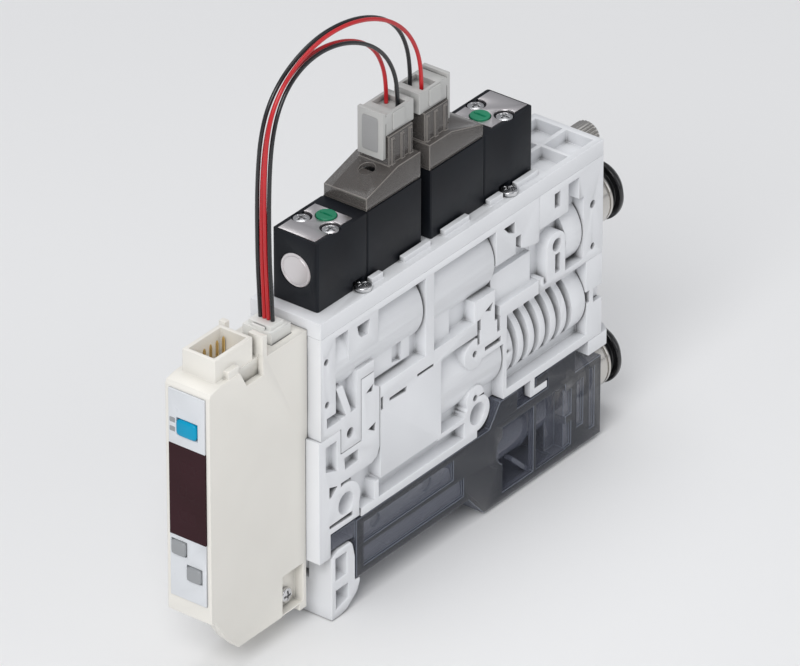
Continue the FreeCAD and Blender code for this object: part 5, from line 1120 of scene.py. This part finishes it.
# %% Lights
LIGHT_HALF_WIDE, LIGHT_HALF_TALL, LIGHT_SIDE, LIGHT_DROPS = 0.62, 0.5, 3.1, (-9.75, -11.55)
LIGHT_PROFILE = [(0.04, 0.0), (0.03, 0.8), (0.0, 1.0), (-0.3, 1.0), (-0.3, 0.0)]
lights = [pressed(LIGHT_HALF_WIDE, LIGHT_HALF_TALL, LIGHT_PROFILE, (PANEL_FACE, LIGHT_SIDE, z), AGAINST_X,
                  power=8.0, bend=0.02, columns=64) for z in LIGHT_DROPS]
made("switch_lights", lights, "body", "grey_key")

# %% [markdown]
# The display is off in the picture, and its three figures of seven bars only just show through
# the dark window. They are thin bars in the same dark plastic, a hair proud of it.

# %% Display figures
FIGURES, FIRST_FIGURE, FIGURE_STEP = 3, -18.6, 4.9
FIGURE_TALL, FIGURE_WIDE, BAR_HALF, BAR_GAP = 3.6, 1.9, 0.16, 0.12
BAR_PROFILE = [(0.015, 0.0), (0.012, 0.8), (0.0, 1.0), (-0.1, 1.0), (-0.1, 0.0)]
long_bar, short_bar = FIGURE_TALL / 4 - BAR_GAP, FIGURE_WIDE / 2 - BAR_GAP
# middle of each bar, up and across the figure, and whether it lies across the figure
BARS = [(1, 0, True), (0, 0, True), (-1, 0, True), (0.5, -1, False), (0.5, 1, False), (-0.5, -1, False),
        (-0.5, 1, False)]
bars = []
for figure in range(FIGURES):
    middle = FIRST_FIGURE - FIGURE_STEP * figure
    for up_share, across_share, lies_across in BARS:
        y = up_share * FIGURE_TALL / 2
        z = middle + across_share * FIGURE_WIDE / 2
        half = (BAR_HALF, short_bar) if lies_across else (long_bar, BAR_HALF)
        bars.append(pressed(*half, BAR_PROFILE, (PANEL_FACE, y, z), AGAINST_X, power=3.0, bend=0.004,
                            columns=24))
made("display_bars", bars, "body", "dark_window")

# %% [markdown]
# The pins of the open socket are square gold wire with four-sided points, and the green buttons
# are flat discs with a rounded rim and a driver slot. The slot is made as the cross recess is: the
# height falls where a point is within the slot's half width and half length.

# %% Pins
PINS, PIN_FIRST, PIN_STEP, PIN_SIDE = 5, -22.0, 1.75, 1.7
PIN_HALF, PIN_TOP, PIN_FOOT = 0.2, 1.4, -5.6
PIN_PROFILE = [(PIN_TOP, 0.0), (PIN_TOP, 0.45), (PIN_TOP - 0.5, 1.0), (PIN_FOOT, 1.0), (PIN_FOOT, 0.0)]
pins = [pressed(PIN_HALF, PIN_HALF, PIN_PROFILE, (PIN_FIRST + PIN_STEP * index, PIN_SIDE, 0.0), ALONG_Z,
                power=10.0, bend=0.04, columns=24) for index in range(PINS)]
made("socket_pins", pins, "body", "gold_pin", ["switch_pins"])

# %% Override buttons
BUTTON_RADIUS, BUTTON_TOP, BUTTON_FOOT, BUTTON_DOME = 1.85, 14.15, 11.9, 0.02
SLOT_HALF, SLOT_LONG, SLOT_DEEP, SLOT_WALL = 0.25, 1.3, 0.5, 0.06


def slotted_button(x, columns=96, rows=44):
    """A disc whose top is BUTTON_DOME (share of the radius)² lower, and SLOT_DEEP lower in its slot."""
    angle = ring_angles(columns)
    reach = np.linspace(0.0, BUTTON_RADIUS - FLAT_TO_RIM, rows)[:, None]
    slot = (within(abs(reach * np.cos(angle)), SLOT_HALF, SLOT_WALL)
            * within(abs(reach * np.sin(angle)), SLOT_LONG, SLOT_WALL))
    top = BUTTON_TOP - BUTTON_DOME * (reach / BUTTON_RADIUS) ** 2 - SLOT_DEEP * slot
    rim = np.array([(BUTTON_TOP - 0.04, BUTTON_RADIUS - 0.06), (BUTTON_TOP - 0.1, BUTTON_RADIUS - 0.01),
                    (BUTTON_TOP - 0.2, BUTTON_RADIUS), (BUTTON_FOOT, BUTTON_RADIUS), (BUTTON_FOOT, 0.0)])
    return disc_grid(top, reach, rim, (x, 0.0, 0.0), ALONG_Z)


for side, x in (("supply", 11.6), ("release", 55.6)):
    made(f"{side}_green_button", [slotted_button(x)], f"{side}_override", "green_plastic",
         [f"{side}_override_button"])

# %% [markdown]
# ## End discs and what shows through the covers
#
# A turned metal disc closes each valve's end block, with a fine ring near its edge. Under each
# smoky cover stand a small lamp and three dark contact blades, which just show through it. All
# are turned or pressed shapes, and those of the release valve mirror those of the supply valve.

# %% End discs
DISC_HEIGHT, DISC_RADIUS = 6.85, 3.33
DISC_OUTLINE = [(0.0, 0.0), (0.0, 2.6), (0.06, 2.65), (0.06, 2.78), (0.0, 2.83), (0.0, 3.23),
                (0.1, DISC_RADIUS), (1.05, DISC_RADIUS), (1.05, 0.0)]
discs = [spun(DISC_OUTLINE, (2.95, 0.0, DISC_HEIGHT), ALONG_X, radius=0.05),
         spun(DISC_OUTLINE, (64.25, 0.0, DISC_HEIGHT), AGAINST_X, radius=0.05)]
made("turned_end_discs", discs, "body", "satin_steel", ["valve_end_discs"])

# %% Lamps and contacts
VALVE_TOP, COVER_TO_LAMP, COVER_TO_BLADES = 13.7, 6.2, 2.4
LAMP_OUTLINE = [(2.7, 0.0), (2.6, 0.5), (2.2, 0.85), (1.6, 0.95), (0.3, 0.95), (0.3, 0.0)]
BLADE_PROFILE = [(1.5, 0.0), (1.5, 0.9), (1.4, 1.0), (0.0, 1.0), (0.0, 0.0)]
BLADE_HALF_WIDE, BLADE_HALF_THICK, BLADE_SIDES = 0.9, 0.55, (-2.2, 0.0, 2.2)
for side, start, way in (("supply", 16.9, 1), ("release", 50.3, -1)):
    lamp_at = (start + way * COVER_TO_LAMP, 0.0, VALVE_TOP)
    made(f"{side}_lamp", [spun(LAMP_OUTLINE, lamp_at, ALONG_Z, columns=48, radius=0.2)],
         "body", "white_plug")
    blades = [pressed(BLADE_HALF_WIDE, BLADE_HALF_THICK, BLADE_PROFILE,
                      (start + way * COVER_TO_BLADES, y, VALVE_TOP), ALONG_Z, power=8.0, columns=64)
              for y in BLADE_SIDES]
    made(f"{side}_contacts", blades, "body", "black_plastic")

# %% [markdown]
# ## The filter cup
#
# Behind the windows of the filter case lies a round cup with a collar, and a slanting brace on
# each side of it. The cup is a closed turned shape with a hollow, so the light passes two walls
# as it does in the real one. A brace is a soft rectangle whose axis lies across the case, and
# whose long way is turned into its slant.

# %% Cup and braces
CUP_START = 52.2
CUP_OUTLINE = [(1.1, 0.0), (1.1, 5.6), (15.9, 5.1), (15.9, 5.9), (9.4, 5.9), (9.4, 6.5), (8.3, 6.5),
               (8.3, 6.4), (0.2, 6.4), (0.2, 0.0)]
BRACE_FROM, BRACE_TO = np.array([56.6, -54.9]), np.array([61.8, -59.9])
BRACE_SIDE, BRACE_HALF = 5.9, 0.45
BRACE_PROFILE = [(0.9, 0.0), (0.9, 1.0), (-0.9, 1.0), (-0.9, 0.0)]
brace_long = np.linalg.norm(BRACE_TO - BRACE_FROM) / 2
way_x, way_z = (BRACE_TO - BRACE_FROM) / (2 * brace_long)
brace_axes = np.array([(0.0, 1.0, 0.0), (way_x, 0.0, way_z), (-way_z, 0.0, way_x)])
brace_x, brace_z = (BRACE_FROM + BRACE_TO) / 2
braces = [pressed(brace_long, BRACE_HALF, BRACE_PROFILE, (brace_x, side * BRACE_SIDE, brace_z), brace_axes,
                  power=12.0, bend=0.08, columns=96) for side in (-1, 1)]
made("filter_cup", [spun(CUP_OUTLINE, (CUP_START, 0.0, VACUUM_DROP), radius=0.15)] + braces,
     "filter_unit", "smoky_case")

# %% [markdown]
# ## Latch plates and clips
#
# Each plug has a darker latch plate on its outer face and a square clip on its side. Both are soft
# rectangles with nearly sharp corners. The clips take their place from the boxes of the plugs.

# %% Latch plates and clips
LATCH_HALF_WIDE, LATCH_HALF_TALL, LATCH_HEIGHT = 1.75, 3.4, 24.6
LATCH_PROFILE = [(0.15, 0.0), (0.15, 0.9), (0.1, 1.0), (-0.2, 1.0), (-0.2, 0.0)]
for side, x, axes in (("supply", 24.0, AGAINST_X), ("release", 43.2, ALONG_X)):
    latch = pressed(LATCH_HALF_WIDE, LATCH_HALF_TALL, LATCH_PROFILE, (x, 0.0, LATCH_HEIGHT), axes,
                    power=12.0, bend=0.05, columns=96)
    plate = made(f"{side}_plug_latch", [latch], "body", "grey_plug")
    plate.data.materials[0] = finishes["plug_plate"]

CLIP_HALF, CLIP_DROP = 1.7, 2.6
CLIP_PROFILE = [(0.22, 0.0), (0.22, 0.92), (0.14, 1.0), (-0.2, 1.0), (-0.2, 0.0)]
for side in ("supply", "release"):
    low, high = (np.array(corner) / MM - (BODY_START, 0.0, BODY_TOP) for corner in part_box(f"{side}_plug"))
    clip_at = ((low[0] + high[0]) / 2, low[1], high[2] - CLIP_DROP)
    clip = pressed(CLIP_HALF, CLIP_HALF, CLIP_PROFILE, clip_at, AGAINST_Y, power=12.0, bend=0.05, columns=96)
    made(f"{side}_plug_clip", [clip], "body", "grey_plug")

# %% [markdown]
# ## Finishes on the solids
#
# What is left keeps its own solid, and only takes its finish by the name of its slot. The same
# loop may run over all solids, because those that have a finer piece aren't shown.

# %% Finishes by slot
for name, node in nodes.items():
    node.data.materials.clear()
    node.data.materials.append(finishes[slot_of[name]])
for name, piece in sheaths.items():
    piece.data.materials.append(finishes[slot_of[name]])
PAPER = (0.86, 0.86, 0.86)
floor.data.materials.append(plastic("studio_paper", PAPER, PAPER, 0.9))
print("finished nodes", len(nodes), "and leads", len(sheaths))

# %% [markdown]
# ## The end
#
